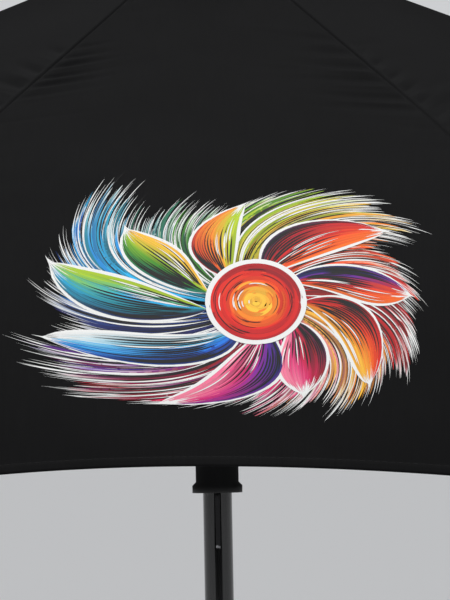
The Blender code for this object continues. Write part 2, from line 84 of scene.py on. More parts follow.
# Camera, fitted to the photograph's skyline, seams and hem
SENSOR_MM = 36.0
LENS_MM = 592.0
FRAME_WIDTH_PX, FRAME_HEIGHT_PX = 450, 600
CAMERA_AWAY = 4.096
CAMERA_HEIGHT = 0.516
CAMERA_ASIDE = 0.0046
CAMERA_TURN = math.radians(0.25)
CAMERA_ROLL = math.radians(1.05)
PIXELS_PER_SLOPE = LENS_MM / SENSOR_MM * FRAME_HEIGHT_PX


# The canopy's surface

def rib_slope(radius):
    share = radius / TIP_RADIUS
    return sum(c * (n + 1) * share**n for n, c in enumerate(DROP_BY_POWER))


def rib_drop(radius):
    share = radius / TIP_RADIUS
    return TIP_RADIUS * sum(c * share ** (n + 1) for n, c in enumerate(DROP_BY_POWER))


def rib_height(radius):
    """Height of a rib's centre line above the pivots."""
    return rib_drop(PIVOT_RADIUS) - rib_drop(radius)


def cloth_height(radius):
    """Height of the cloth's middle surface over a rib."""
    slope = rib_slope(radius)
    rise = FABRIC_CLEAR * np.hypot(1.0, slope) + RIB_WIDTH / 2 * (slope * math.tan(HALF_STEP) + 4 * SAG)
    away = np.maximum((radius - CENTRE_LIFT_AT) / CENTRE_LIFT_WIDTH, 0)
    return rib_height(radius) + rise + CENTRE_LIFT * np.exp(-away * away)


def outward_way(fall):
    """The outward way of a surface that falls along +X by this angle."""
    return np.stack([np.sin(fall), np.zeros_like(fall), np.cos(fall)], -1)


def cloth_points(station, aside, own_cut=(0.0, 0.0, 0.0)):
    """Points of the cloth, with +X down the gore's centre fold, and the outward way at each.

    station is the radius where a line of cloth leaves the rib. aside runs from -1 at one rib, over 0 at the
    fold, to 1 at the other rib. own_cut is how much more the hem is cut up: on one side of the fold, over
    the whole hem and about its middle.
    """
    to_fold = 1 - aside**2
    lean, wide, middle = own_cut
    share = (station - CENTRE_RADIUS) / (TIP_RADIUS - CENTRE_RADIUS)
    cut = SCALLOP * TIP_RADIUS + lean * aside + wide + middle * to_fold**2
    radius = station - cut * to_fold * share
    depth = SAG * 2 * radius * math.sin(HALF_STEP) * (radius / TIP_RADIUS) ** 1.5 * to_fold
    fall = np.arctan(rib_slope(radius) / math.cos(HALF_STEP))
    outward = outward_way(fall)
    along, across = radius * math.cos(HALF_STEP), aside * radius * math.sin(HALF_STEP)
    points = np.stack([along, across, CROWN_Z + cloth_height(radius)], -1)
    return points - outward * depth[..., None], outward


def rib_turn(number):
    return math.radians(FIRST_RIB_DEG + RIB_STEP_DEG * (number - 1))


def gore_turn(number):
    return rib_turn(number) + HALF_STEP


# Finishes

def node(tree, kind, inputs=(), **settings):
    """A shader node. A value in inputs that is a socket is linked, and any other one is set."""
    made = tree.nodes.new("ShaderNode" + kind)
    for name, value in settings.items():
        setattr(made, name, value)
    for name, value in dict(inputs).items():
        if isinstance(value, bpy.types.NodeSocket):
            tree.links.new(value, made.inputs[name])
        else:
            made.inputs[name].default_value = value
    return made


def new_finish(name, **sockets):
    made = bpy.data.materials.new(name)
    made.use_nodes = True
    shader = made.node_tree.nodes["Principled BSDF"]
    for socket, value in sockets.items():
        shader.inputs[socket.replace("_", " ")].default_value = value
    return made, made.node_tree, shader


def grey(value):
    return (value, value, value * 1.04, 1.0)


def toned(tree, share, dark, light, low=0.3, high=0.7):
    """A colour that runs from dark to light as share runs from low to high."""
    ramp = node(tree, "ValToRGB", {"Fac": share})
    for element, place, colour in zip(ramp.color_ramp.elements, (low, high), (dark, light)):
        element.position, element.color = place, colour
    return ramp.outputs[0]


def ranged(tree, value, low, high, to_low, to_high):
    return node(tree, "MapRange", {"Value": value, 1: low, 2: high, 3: to_low, 4: to_high}).outputs[0]


def uneven(tree, shader, height, strength, depth):
    bump = node(tree, "Bump", {"Height": height, "Strength": strength, "Distance": depth})
    tree.links.new(bump.outputs[0], shader.inputs["Normal"])


def worked_out(tree, operation, *values):
    return node(tree, "Math", dict(enumerate(values)), operation=operation).outputs[0]


def waves(tree, value, pitch):
    """Runs between -1 and 1 once in each pitch."""
    return worked_out(tree, "SINE", worked_out(tree, "MULTIPLY", value, math.tau / pitch))


def noise(tree, at, scale, detail):
    return node(tree, "TexNoise", {"Vector": at, "Scale": scale, "Detail": detail}).outputs["Fac"]


def on_cloth(tree):
    """The place on the flat cloth, in metres."""
    return node(tree, "UVMap", uv_map="cloth").outputs["UV"]


def on_piece(tree):
    return node(tree, "TexCoord").outputs["Object"]


def canopy_cloth():
    """Black plain-weave polyester: crossing threads, faint slubs along the warp and a low satin gloss."""
    made, tree, shader = new_finish("canopy cloth", Roughness=0.55, IOR=1.035)
    at = on_cloth(tree)
    split = node(tree, "SeparateXYZ", {0: at})
    weft, warp = (waves(tree, split.outputs[axis], 0.00045) for axis in "XY")
    weave = worked_out(tree, "MULTIPLY", weft, warp)
    stretched = node(tree, "Mapping", {"Vector": at, "Scale": (2200.0, 30.0, 1.0)}).outputs[0]
    slubs = noise(tree, stretched, 1.0, 2.0)
    mixed = worked_out(tree, "MULTIPLY", slubs, noise(tree, at, 14.0, 3.0))
    tree.links.new(toned(tree, mixed, grey(0.0063), grey(0.0088), 0.1, 0.45), shader.inputs["Base Color"])
    uneven(tree, shader, worked_out(tree, "MULTIPLY_ADD", slubs, 0.6, weave), 0.25, 0.00006)
    return made


def print_ink():
    """Screen ink: the piece's own colours, broken up a little by the threads under it."""
    made, tree, shader = new_finish("print ink", Roughness=0.5, IOR=1.12)
    colour = node(tree, "VertexColor", layer_name="ink").outputs["Color"]
    grain = noise(tree, on_cloth(tree), 2600.0, 2.0)
    share = toned(tree, grain, (0.86, 0.86, 0.86, 1.0), (1.0, 1.0, 1.0, 1.0), 0.3, 0.6)
    mixed = node(tree, "Mix", {6: colour, 7: share, 0: 1.0}, data_type="RGBA", blend_type="MULTIPLY")
    tree.links.new(mixed.outputs[2], shader.inputs["Base Color"])
    uneven(tree, shader, grain, 0.2, 0.00005)
    return made


def webbing():
    """Ribbed tape: cords along its length, crossed by fine picks, with painted shade: the colour is darker in
    the low places between them.
    """
    made, tree, shader = new_finish("webbing", IOR=1.2)
    split = node(tree, "SeparateXYZ", {0: on_cloth(tree)})
    cords = waves(tree, split.outputs["X"], 0.0015)
    picks = waves(tree, split.outputs["Y"], 0.0007)
    height = worked_out(tree, "MULTIPLY_ADD", picks, 0.4, cords)
    share = ranged(tree, height, -1.4, 1.4, 0, 1)
    # Painted shade: the colour follows the weave's height, darker in the low places between cords and picks.
    tree.links.new(toned(tree, share, grey(0.008), grey(0.022)), shader.inputs["Base Color"])
    tree.links.new(ranged(tree, height, -1.4, 1.4, 0.9, 0.6), shader.inputs["Roughness"])
    uneven(tree, shader, height, 0.8, 0.0002)
    return made


def grained(name, dark, light, stretch, roughness, bump, **sockets):
    """A finish whose colour, gloss and surface follow one noise, which stretch scales along each axis."""
    made, tree, shader = new_finish(name, **sockets)
    laid = node(tree, "Mapping", {"Vector": on_piece(tree), "Scale": stretch}).outputs[0]
    grain = noise(tree, laid, 1.0, 4.0)
    tree.links.new(toned(tree, grain, grey(dark), grey(light)), shader.inputs["Base Color"])
    tree.links.new(ranged(tree, grain, 0.3, 0.7, *roughness), shader.inputs["Roughness"])
    uneven(tree, shader, grain, bump, 0.0001)
    return made


def soft_grip():
    """Soft-touch rubber: a fine pebble grain with a slow change of tone where hands have polished it."""
    made, tree, shader = new_finish("soft grip", Specular_IOR_Level=0.35)
    at = on_piece(tree)
    pebbles = node(tree, "TexVoronoi", {"Vector": at, "Scale": 1900.0}).outputs["Distance"]
    worn = noise(tree, at, 24.0, 3.0)
    tree.links.new(toned(tree, worn, grey(0.013), grey(0.021)), shader.inputs["Base Color"])
    tree.links.new(ranged(tree, worn, 0.3, 0.7, 0.74, 0.58), shader.inputs["Roughness"])
    uneven(tree, shader, pebbles, 0.45, 0.00012)
    return made


def blade_steel(name, foot):
    """Blued spring steel, bright at the blade's foot, at this height: partly steel that the runner rubs bare,
    partly a painted highlight that stands for a glint there.
    """
    made, tree, shader = new_finish(name, Metallic=1.0)
    at = on_piece(tree)
    height = node(tree, "SeparateXYZ", {0: at}).outputs["Z"]
    grain = noise(tree, at, 420.0, 4.0)
    edge = worked_out(tree, "MULTIPLY_ADD", grain, 0.003, height)
    # The end below the foot is made bright: rubbed bare steel with a painted highlight for a glint.
    rubbed_and_glint = ranged(tree, edge, foot + 0.0020, foot + 0.0014, 0, 1)
    tree.links.new(toned(tree, rubbed_and_glint, grey(0.022), grey(0.40), 0.0, 1.0), shader.inputs["Base Color"])
    tree.links.new(ranged(tree, grain, 0.3, 0.7, 0.32, 0.46), shader.inputs["Roughness"])
    uneven(tree, shader, grain, 0.15, 0.00005)
    return made


LATCH_LENGTH = 0.022
UPPER_LATCH_TOP, LOWER_LATCH_TOP = 0.435811, 0.195205

FINISHES = {
    "cloth": canopy_cloth(),
    "ink": print_ink(),
    "webbing": webbing(),
    "soft grip": soft_grip(),
    "upper blade": blade_steel("upper blade steel", UPPER_LATCH_TOP - LATCH_LENGTH),
    "lower blade": blade_steel("lower blade steel", LOWER_LATCH_TOP - LATCH_LENGTH),
    "thread": grained("thread", 0.006, 0.012, (900, 900, 900), (0.7, 0.8), 0.4, IOR=1.2),
    "rib steel": grained("black rib steel", 0.022, 0.036, (160, 160, 160), (0.30, 0.42), 0.2, Metallic=0.5),
    "shaft steel": grained("lacquered shaft steel", 0.008, 0.012, (900, 900, 14), (0.22, 0.34), 0.06,
                           Coat_Weight=0.5, Coat_Roughness=0.12),
    "wire steel": grained("wire steel", 0.20, 0.34, (300, 300, 300), (0.3, 0.42), 0.1, Metallic=1.0),
    "bright steel": grained("turned bright steel", 0.52, 0.66, (60, 60, 3600), (0.14, 0.26), 0.12,
                            Metallic=1.0),
    "black plastic": grained("moulded black plastic", 0.010, 0.014, (1400, 1400, 1400), (0.38, 0.50), 0.25),
}


# Stage, light and camera

def make_stage():
    floor = bmesh.new()
    bmesh.ops.create_circle(floor, cap_ends=True, segments=96, radius=900.0)
    bmesh.ops.translate(floor, verts=floor.verts, vec=(0, 0, CAD_BOX[0].z - 0.0004))
    mesh = bpy.data.meshes.new("floor")
    floor.to_mesh(mesh)
    floor.free()
    pale, _, _ = new_finish(
        "pale floor", Base_Color=(0.84, 0.84, 0.84, 1.0), Roughness=0.9, Specular_IOR_Level=0.1
    )
    mesh.materials.append(pale)
    obj = bpy.data.objects.new("floor", mesh)
    bpy.context.scene.collection.objects.link(obj)
    world = bpy.data.worlds.new("studio")
    world.use_nodes = True
    backdrop = world.node_tree.nodes["Background"].inputs
    backdrop["Color"].default_value, backdrop["Strength"].default_value = (0.80, 0.81, 0.83, 1.0), 0.76
    bpy.context.scene.world = world
    bpy.context.scene.view_settings.view_transform = "Standard"


def make_light(name, at, aim, size, power):
    light = bpy.data.lights.new(name, "AREA")
    light.shape, light.size, light.energy = "DISK", size, power
    obj = bpy.data.objects.new(name, light)
    obj.location = at
    obj.rotation_euler = (Vector(aim) - Vector(at)).to_track_quat("-Z", "Y").to_euler()
    bpy.context.scene.collection.objects.link(obj)


def camera_axes():
    """Where the camera stands and its right, up and back ways."""
    turn = Matrix.Rotation(CAMERA_TURN, 3, "Z")
    right = turn @ Vector((math.cos(CAMERA_ROLL), 0, -math.sin(CAMERA_ROLL)))
    up = turn @ Vector((math.sin(CAMERA_ROLL), 0, math.cos(CAMERA_ROLL)))
    back = turn @ Vector((0, -1, 0))
    stand = turn @ Vector((CAMERA_ASIDE, -CAMERA_AWAY, CAMERA_HEIGHT))
    return stand, right, up, back


def make_camera():
    stand, right, up, back = camera_axes()
    data = bpy.data.cameras.new("photo view")
    data.lens, data.sensor_width = LENS_MM, SENSOR_MM
    data.clip_start, data.clip_end = 0.1, 2000.0
    obj = bpy.data.objects.new("photo view", data)
    obj.matrix_world = Matrix.Translation(stand) @ Matrix((right, up, back)).transposed().to_4x4()
    bpy.context.scene.collection.objects.link(obj)
    bpy.context.scene.camera = obj


# Making pieces

def piece(name, bm, finish, body, slot, replaces=(), smooth_below=None):
    """A finished piece that rides on its body. Edges at or past smooth_below degrees stay sharp."""
    mesh = bpy.data.meshes.new(name)
    bm.to_mesh(mesh)
    bm.free()
    mesh.materials.append(FINISHES[finish])
    mesh.shade_smooth()
    if smooth_below is not None:
        mesh.set_sharp_from_angle(angle=math.radians(smooth_below))
    obj = bpy.data.objects.new(name, mesh)
    bpy.context.scene.collection.objects.link(obj)
    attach(obj, body)
    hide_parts(*replaces)
    return obj


def fixed(name, bm, finish, slot, node_name, smooth_below=38):
    """A piece of the shaft and handle that stands for one node."""
    piece(name, bm, finish, "shaft_and_handle", slot, [node_name], smooth_below)


def only(kind, made):
    return [item for item in made if isinstance(item, kind)]


def tidy(bm):
    bmesh.ops.remove_doubles(bm, verts=bm.verts, dist=1e-7)
    bmesh.ops.recalc_face_normals(bm, faces=bm.faces)
    return bm


def rounded_edges(bm, width, sharper_than=40.0, segments=2):
    """Rounds every edge whose faces meet at more than this many degrees."""
    limit = math.radians(sharper_than)
    edges = [e for e in bm.edges if e.is_manifold and e.calc_face_angle(0.0) > limit]
    bmesh.ops.bevel(
        bm, geom=edges, offset=width, segments=segments, profile=0.5, affect="EDGES", material=-1,
        clamp_overlap=True,
    )
    return bm


def spun_about_z(bm, geom, steps):
    bmesh.ops.spin(
        bm, geom=geom, cent=(0, 0, 0), axis=(0, 0, 1), angle=math.tau, steps=steps, use_merge=True
    )
    return tidy(bm)


def turned(profile, steps=48, edge=0.0):
    """A solid spun about Z from (radius, height) points that run down its outer side."""
    bm = bmesh.new()
    verts = [bm.verts.new((radius, 0.0, height)) for radius, height in profile]
    edges = [bm.edges.new(pair) for pair in zip(verts, verts[1:])]
    if profile[0][0] > 0:
        edges.append(bm.edges.new((verts[-1], verts[0])))
    spun_about_z(bm, verts + edges, steps)
    if edge:
        rounded_edges(bm, edge, 25.0)
    return bm


def sleeve(radius, bore, low, high, steps, edge):
    return turned([(radius, high), (radius, low), (bore, low), (bore, high)], steps, edge)


def ring(radius, thick, steps=24, sides=8):
    """A ring of round wire about Z."""
    bm = bmesh.new()
    lay = Matrix.Translation((radius, 0, 0)) @ Matrix.Rotation(math.pi / 2, 4, "X")
    made = bmesh.ops.create_circle(bm, segments=sides, radius=thick, matrix=lay)["verts"]
    return spun_about_z(bm, made + list(bm.edges), steps)


def block(low, high, edge=0.0, segments=2):
    bm = bmesh.new()
    bmesh.ops.create_cube(bm, size=1.0)
    low, high = Vector(low), Vector(high)
    bmesh.ops.scale(bm, verts=bm.verts, vec=high - low)
    bmesh.ops.translate(bm, verts=bm.verts, vec=(low + high) / 2)
    if edge:
        rounded_edges(bm, edge, 40.0, segments)
    return bm


def plate(outline, width, edge):
    """A flat plate across the plane of +X and +Z, from its outline of (along, up) points."""
    bm = bmesh.new()
    face = bm.faces.new([bm.verts.new((along, -width / 2, up)) for along, up in outline])
    made = bmesh.ops.extrude_face_region(bm, geom=[face])["geom"]
    bmesh.ops.translate(bm, verts=only(bmesh.types.BMVert, made), vec=(0, width, 0))
    tidy(bm)
    return rounded_edges(bm, edge, 30.0)


def joined(*parts):
    """One bmesh of several, which are freed."""
    whole = bmesh.new()
    for part in parts:
        mesh = bpy.data.meshes.new("part")
        part.to_mesh(mesh)
        part.free()
        whole.from_mesh(mesh)
        bpy.data.meshes.remove(mesh)
    return whole


def moved(bm, matrix):
    bm.transform(matrix)
    return bm


def swept(outline, places):
    """A bar whose section is an outline of (aside, up) points, drawn along +X with a ring at each place."""
    bm = bmesh.new()
    face = bm.faces.new([bm.verts.new((places[0], aside, up)) for aside, up in outline])
    for before, after in zip(places, places[1:]):
        made = bmesh.ops.extrude_face_region(bm, geom=[face])["geom"]
        bmesh.ops.translate(bm, verts=only(bmesh.types.BMVert, made), vec=(after - before, 0, 0))
        old, face = face, only(bmesh.types.BMFace, made)[0]
        if before != places[0] and old.is_valid:
            bm.faces.remove(old)
    return tidy(bm)


def rib_matrix(number):
    """Takes the plane of +X and +Z through the pivots' height to the plane of this rib."""
    return Matrix.Translation((0, 0, CROWN_Z)) @ Matrix.Rotation(rib_turn(number), 4, "Z")


def on_rib_line(radius, up=0.0):
    """Stands a shape on the rib's line at this radius, with its +X down the rib and its +Z away from it."""
    fall = math.atan(rib_slope(radius))
    at = (radius + up * math.sin(fall), 0, float(rib_height(radius)) + up * math.cos(fall))
    return Matrix.Translation(at) @ Matrix.Rotation(fall, 4, "Y")


def bent_to_rib(bm):
    """Bends a bar that lies along +X onto the rib's line, keeping its distance above the line."""
    for vert in bm.verts:
        radius, aside, up = vert.co
        fall = math.atan(rib_slope(radius))
        vert.co = (radius + up * math.sin(fall), aside, rib_height(radius) + up * math.cos(fall))
    return bm


def from_node(name, edge):
    """A CAD node's shape with its loose triangles merged and its edges rounded."""
    bm = bmesh.new()
    bm.from_mesh(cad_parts[name].data)
    bmesh.ops.remove_doubles(bm, verts=bm.verts, dist=2e-6)
    bmesh.ops.dissolve_limit(bm, angle_limit=math.radians(1.0), verts=bm.verts, edges=bm.edges)
    return rounded_edges(bm, edge, 50.0)


# Canopy

CLOTH_THICKNESS = 0.00028
SEAM_HALF_GAP = 0.00004
CREASE_DEPTH, CREASE_REACH = 0.0004, 0.0007
CREASE_DEEPEST_AT, CREASE_SPREAD = 0.165, 0.05
PUFF, PUFF_REACH = 0.0007, 0.012
ACROSS = 40
FLAT_BY_FOLD = 0.012
FRONT_CUT = (-0.0045, 0.0024, -0.003)
HEM_TURN_RADIUS = 0.00030
HEM_WIDTH = 0.0052
# The hem's rows: how far the cloth has turned over, in degrees, and how far it then runs back
HEM_ROWS = ((60, 0.0), (0, 0.0), (-60, 0.0), (-90, 0.0), (-90, 0.0018), (-90, 0.0036), (-90, HEM_WIDTH))
HEM_PROUD = 0.00022
STITCH_FROM_EDGE = 0.0043
STITCH_PITCH = 0.0028
STITCH_SINK = 0.00016
SEAM_ALLOWANCE = 0.0052
# How a gore's halves are to fold, which nothing applies: the share of its width that each keeps, and how far
# out it turns, in degrees
LEFT_FOLD, RIGHT_FOLD = (0.30, 16), (0.07, 8)
# Where the cloth starts under the cap, so that it stays hidden there when the umbrella is closed
CLOTH_FROM = 0.0100
# Radius from which rows of cloth run, and how many there are up to the next
STATION_STEPS = (
    (CLOTH_FROM, 30), (0.12, 115), (0.26, 46), (0.40, 20), (0.49, 8), (0.504, 10), (TIP_RADIUS, 0)
)
# The rows of puckers that the photograph shows beside the front gore's seams, by gore and side. Columns: the
# first one's station, pitch, count, half width, depth, lean towards the crown, and reach of the longest
PUCKER_ROWS = {
    (1, -1): (0.1430, 0.0113, 6, 0.0022, 0.00120, -0.20, 0.026),
    (1, 1): (0.1365, 0.0172, 6, 0.0038, 0.00120, 0.02, 0.031),
    (8, 1): (0.1500, 0.0200, 4, 0.0036, 0.00115, -0.30, 0.034),
    (2, -1): (0.1560, 0.0150, 6, 0.0026, 0.00100, -0.50, 0.021),
}


def station_list():
    stations = []
    for (start, count), (stop, _) in zip(STATION_STEPS, STATION_STEPS[1:]):
        stations += [start + (stop - start) * i / count for i in range(count)]
    return stations + [TIP_RADIUS]


def across_list():
    """Places from the rib, 1, to the fold, 0, close together beside the seam."""
    places = [1.0 - (i / (ACROSS - 1)) ** 1.7 * (1 - FLAT_BY_FOLD) for i in range(ACROSS)]
    return places + [0.0]


class Gore:
    """One gore's cloth: its middle surface with the puckers and waves that are its own."""

    def __init__(self, number):
        self.number = number
        self.own_cut = FRONT_CUT if number == 1 else (0.0, 0.0, 0.0)
        draw = random.Random(311 + number)
        wave_ranges = ((0.0001, 0.0003), (18, 46), (0, math.tau), (-22, 22))
        self.waves = [[draw.uniform(*limits) for limits in wave_ranges] for _ in range(7)]
        self.lines = []
        for seam in (-1, 1):
            first, pitch = draw.uniform(0.135, 0.165), draw.uniform(0.0115, 0.0185)
            count, width = draw.randint(4, 6), draw.uniform(0.0024, 0.0038)
            depth, lean = draw.uniform(0.0007, 0.0011), draw.uniform(-0.4, -0.05)
            drawn = (first, pitch, count, width, depth, lean, draw.uniform(0.018, 0.028))
            self.add_row(draw, seam, *PUCKER_ROWS.get((number, seam), drawn))
            for _ in range(12):
                middle = draw.gauss(0.22, 0.06)
                height = draw.uniform(0.00012, 0.00030) * draw.choice((-1, 1))
                reach, width = draw.uniform(0.014, 0.040), draw.uniform(0.0026, 0.0052)
                self.lines.append((seam, middle, height, reach, width, draw.uniform(-0.26, 0.05)))

    def add_row(self, draw, seam, first, pitch, count, width, depth, lean, reach):
        """Valleys with a low ridge after each, short at the crown's end of the row and long at the other."""
        for i in range(count):
            middle = first + i * pitch + draw.uniform(-0.08, 0.08) * pitch
            deep = depth * math.sin(math.pi * (i + 0.75) / (count + 0.3)) ** 0.7 * draw.uniform(0.85, 1.1)
            far = reach * (0.42 + 0.58 * i / (count - 1))
            own = lean + draw.uniform(-0.03, 0.03)
            self.lines.append((seam, middle, -deep, far, width, own))
            self.lines.append((seam, middle + pitch / 2, 0.40 * deep, far, width * 0.55, own))

    def rise(self, station, aside):
        """How far the cloth stands out at each point."""
        half = station * math.sin(HALF_STEP)
        total = np.zeros_like(station)
        for seam, middle, height, reach, width, lean in self.lines:
            from_seam = (1 - seam * aside) * half
            line = (station - middle - lean * from_seam) / width
            start = 1 - np.exp(-((from_seam / 0.0035) ** 2))
            total += height * start * np.exp(-line * line) * np.exp(-((from_seam / reach) ** 3))
        quiet = (1 - aside**2) ** 1.5 * np.minimum((station / 0.2) ** 2, 1.0)
        for height, along, phase, lean in self.waves:
            total += height * quiet * np.sin(along * station + phase + lean * aside * half)
        from_seam = (1 - np.abs(aside)) * half
        crease = np.exp(-((from_seam / CREASE_REACH) ** 2))
        from_deepest = (station - CREASE_DEEPEST_AT) / CREASE_SPREAD
        depth = CREASE_DEPTH * (0.55 + 0.45 * np.exp(-(from_deepest**2)))
        from_edge = TIP_RADIUS - station
        hem = HEM_PROUD * (0.5 - 0.5 * np.tanh((from_edge - STITCH_FROM_EDGE - 0.0003) / 0.0005))
        sewn = STITCH_SINK * np.exp(-(((from_edge - STITCH_FROM_EDGE) / 0.0006) ** 2))
        return total + PUFF * (1 - crease) * np.exp(-from_seam / PUFF_REACH) - depth * crease + hem - sewn

    def surface(self, station, aside):
        """(points, outward ways, ways down the cloth) in the object's frame."""
        shape = np.where(np.abs(aside) <= FLAT_BY_FOLD, 0.0, aside)
        points, outward = cloth_points(station, shape, self.own_cut)
        points[:, 1] = aside * points[:, 0] * math.tan(HALF_STEP)
        points += outward * self.rise(station, shape)[:, None]
        side = np.sign(aside)
        points[:, 0] -= SEAM_HALF_GAP * np.abs(aside) * math.sin(HALF_STEP)
        points[:, 1] -= side * SEAM_HALF_GAP * np.abs(aside) * math.cos(HALF_STEP)
        down = np.stack([outward[:, 2], np.zeros(len(points)), -outward[:, 0]], -1)
        turn = np.array(Matrix.Rotation(gore_turn(self.number), 3, "Z"))
        return points @ turn.T, outward @ turn.T, down @ turn.T


def along_rib(stations):
    """Length of cloth from the centre to each station."""
    steps = np.hypot(np.diff(stations), np.diff(rib_height(np.array(stations))))
    return np.concatenate([[0], np.cumsum(steps)])


def laid_grid(bm, rows, columns):
    """A grid in bm with each vertex's row and column."""
    bm.loops.layers.uv.new("cloth")
    bmesh.ops.create_grid(bm, x_segments=rows, y_segments=columns, size=0.5, calc_uvs=True)
    row = np.array([round((v.co.x + 0.5) * rows) for v in bm.verts])
    column = np.array([round((v.co.y + 0.5) * columns) for v in bm.verts])
    return row, column


def set_places(bm, points, across, along):
    """Moves the grid's vertices and writes their place on the flat cloth, in metres, as the UV map."""
    uv = bm.loops.layers.uv["cloth"]
    bm.verts.index_update()
    for vert, at in zip(bm.verts, points):
        vert.co = at
    for face in bm.faces:
        for loop in face.loops:
            i = loop.vert.index
            loop[uv].uv = (across[i], along[i])
    for edge in bm.edges:
        edge.smooth = not edge.is_boundary


def half_gore(gore, side):
    """Half of a gore as one sheet, from a rib's seam to the centre fold, with the hem turned under."""
    stations, places = station_list(), across_list()
    last = len(stations) - 1
    bm = bmesh.new()
    row, column = laid_grid(bm, last + len(HEM_ROWS), ACROSS)
    station = np.array(stations)[np.minimum(row, last)]
    aside = side * np.array(places)[column]
    aside = np.where(aside == 0, side * 1e-9, aside)
    points, outward, down = gore.surface(station, aside)
    for step, (angle, back) in enumerate(HEM_ROWS):
        on = row == last + 1 + step
        turn = math.radians(angle)
        points[on] += outward[on] * HEM_TURN_RADIUS * (math.sin(turn) - 1)
        points[on] += down[on] * (HEM_TURN_RADIUS * math.cos(turn) - back)
    along = along_rib(stations)[np.minimum(row, last)] + np.maximum(row - last, 0) * 0.0008
    set_places(bm, points, aside * station * math.sin(HALF_STEP), along)
    if side < 0:
        bmesh.ops.reverse_faces(bm, faces=bm.faces)
    return bm


def add_stitch(bm, at, ahead, out, length):
    """One lock stitch: a pinched capsule of thread that lies along ahead."""
    ahead = Vector(ahead).normalized()
    out = Vector(out)
    axes = Matrix((ahead, out.cross(ahead), out)).transposed().to_4x4()
    lay = Matrix.Translation(at) @ axes @ Matrix.Rotation(math.pi / 2, 4, "Y")
    shape = Matrix.Diagonal((0.00012, 0.00018, length, 1))
    bmesh.ops.create_uvsphere(bm, u_segments=6, v_segments=4, radius=1.0, matrix=lay @ shape)


def hem_stitches(gore, side):
    """The hem's row of lock stitches, on the outside and on the inside of the cloth."""
    station = TIP_RADIUS - STITCH_FROM_EDGE
    edge = station * math.sin(HALF_STEP)
    count = int(edge * 0.94 / STITCH_PITCH)
    places = (np.arange(count) + 0.6) / count * 0.985
    points, outward, down = gore.surface(np.full(count, station), side * places)
    bm = bmesh.new()
    for at, out, down_way in zip(points, outward, down):
        ahead = np.cross(down_way, out)
        for lift in (CLOTH_THICKNESS * 0.5, -CLOTH_THICKNESS * 0.5 - 2 * HEM_TURN_RADIUS):
            add_stitch(bm, Vector(at) + Vector(out) * lift, ahead, out, STITCH_PITCH * 0.42)
    return bm


def seam_strip(gore, side):
    """The seam allowance that lies under the cloth beside a rib."""
    end = TIP_RADIUS - 0.006
    stations = [s for s in station_list() if 0.02 < s < end][::3] + [end]
    bm = bmesh.new()
    row, column = laid_grid(bm, len(stations) - 1, 3)
    station = np.array(stations)[row]
    from_seam = np.array([0.0017, 0.0028, 0.0040, SEAM_ALLOWANCE])[column]
    aside = side * (1 - from_seam / (station * math.sin(HALF_STEP)))
    points, outward, _ = gore.surface(station, aside)
    points -= outward * (CLOTH_THICKNESS + 0.00006)
    set_places(bm, points, aside * station * math.sin(HALF_STEP), station)
    if side < 0:
        bmesh.ops.reverse_faces(bm, faces=bm.faces)
    return bm


def fold_with(obj, rib, side):
    """Gives the piece its own mesh. The fold for its side is worked out but not applied: cloth beside a rib
    is to fold in as the umbrella closes, each left half over the right half of its gore.
    """
    keep, lean = LEFT_FOLD if side < 0 else RIGHT_FOLD
    turn, lean = Matrix.Rotation(rib_turn(rib), 3, "Z"), math.radians(lean)
    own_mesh(obj)


def thicken(obj, thickness):
    shell = obj.modifiers.new("thickness", "SOLIDIFY")
    shell.thickness, shell.offset = thickness, 0.0


def make_canopy():
    for number in range(1, RIBS + 1):
        gore = Gore(number)
        films = make_print(gore) if number == 1 else {"left": [], "right": []}
        for half, side, rib in (("left", -1, number), ("right", 1, number % RIBS + 1)):
            which, rides = f"{number}_{half}", (f"rib_{rib}_frame", "canopy_fabric")
            thread = piece(f"hem_stitches_{which}", hem_stitches(gore, side), "thread", *rides)
            allowance = piece(f"seam_{which}", seam_strip(gore, side), "cloth", *rides)
            thicken(allowance, CLOTH_THICKNESS)
            cloth = piece(f"cloth_{which}", half_gore(gore, side), "cloth", *rides, [f"gore_{which}"])
            thicken(cloth, CLOTH_THICKNESS)
            for soft in (cloth, thread, allowance):
                fold_with(soft, rib, side)


# The design printed on the front gore

INKS = {
    "white": (0.95, 0.95, 0.94), "black": (0.02, 0.02, 0.03), "navy": (0.04, 0.09, 0.33),
    "blue": (0.05, 0.35, 0.80), "cyan": (0.13, 0.68, 0.90), "teal": (0.04, 0.45, 0.48),
    "green": (0.20, 0.52, 0.09), "lime": (0.70, 0.82, 0.14), "amber": (0.99, 0.74, 0.22),
    "orange": (0.97, 0.42, 0.07), "red": (0.90, 0.12, 0.07), "crimson": (0.66, 0.04, 0.10),
    "magenta": (0.87, 0.06, 0.40), "pink": (0.96, 0.52, 0.62), "violet": (0.40, 0.12, 0.62),
    "plum": (0.22, 0.04, 0.26),
}
# The inks round the disc, and from the dark to the bright side of each arm
ROUND = (
    "orange", "amber", "pink", "magenta", "crimson", "violet", "navy", "blue", "cyan", "teal", "green",
    "lime", "amber", "orange", "red", "crimson", "red",
)
ARMS = (
    ("crimson", "red", "orange", "amber"), ("plum", "crimson", "magenta", "pink"),
    ("navy", "violet", "magenta", "pink"), ("navy", "blue", "cyan", "white"),
    ("navy", "teal", "cyan", "lime"), ("teal", "green", "lime", "amber"),
    ("crimson", "orange", "amber", "lime"), ("plum", "crimson", "red", "orange"),
    ("navy", "violet", "red", "orange"),
)
SUN_BANDS = ("amber", "amber", "orange", "red", "crimson")
# The layer of ink that each kind of stroke lies in, from the cloth up
BRISTLE_BACK, BRISTLE_COLOUR, BRISTLE_BLACK, BRISTLE_WHITE = range(4)
ARM_RIM, ARM_COLOUR, ARM_BLACK, ARM_WHITE = range(4, 8)
SUN_RIM, SUN_COLOUR, SUN_BLACK, SUN_WHITE = range(8, 12)
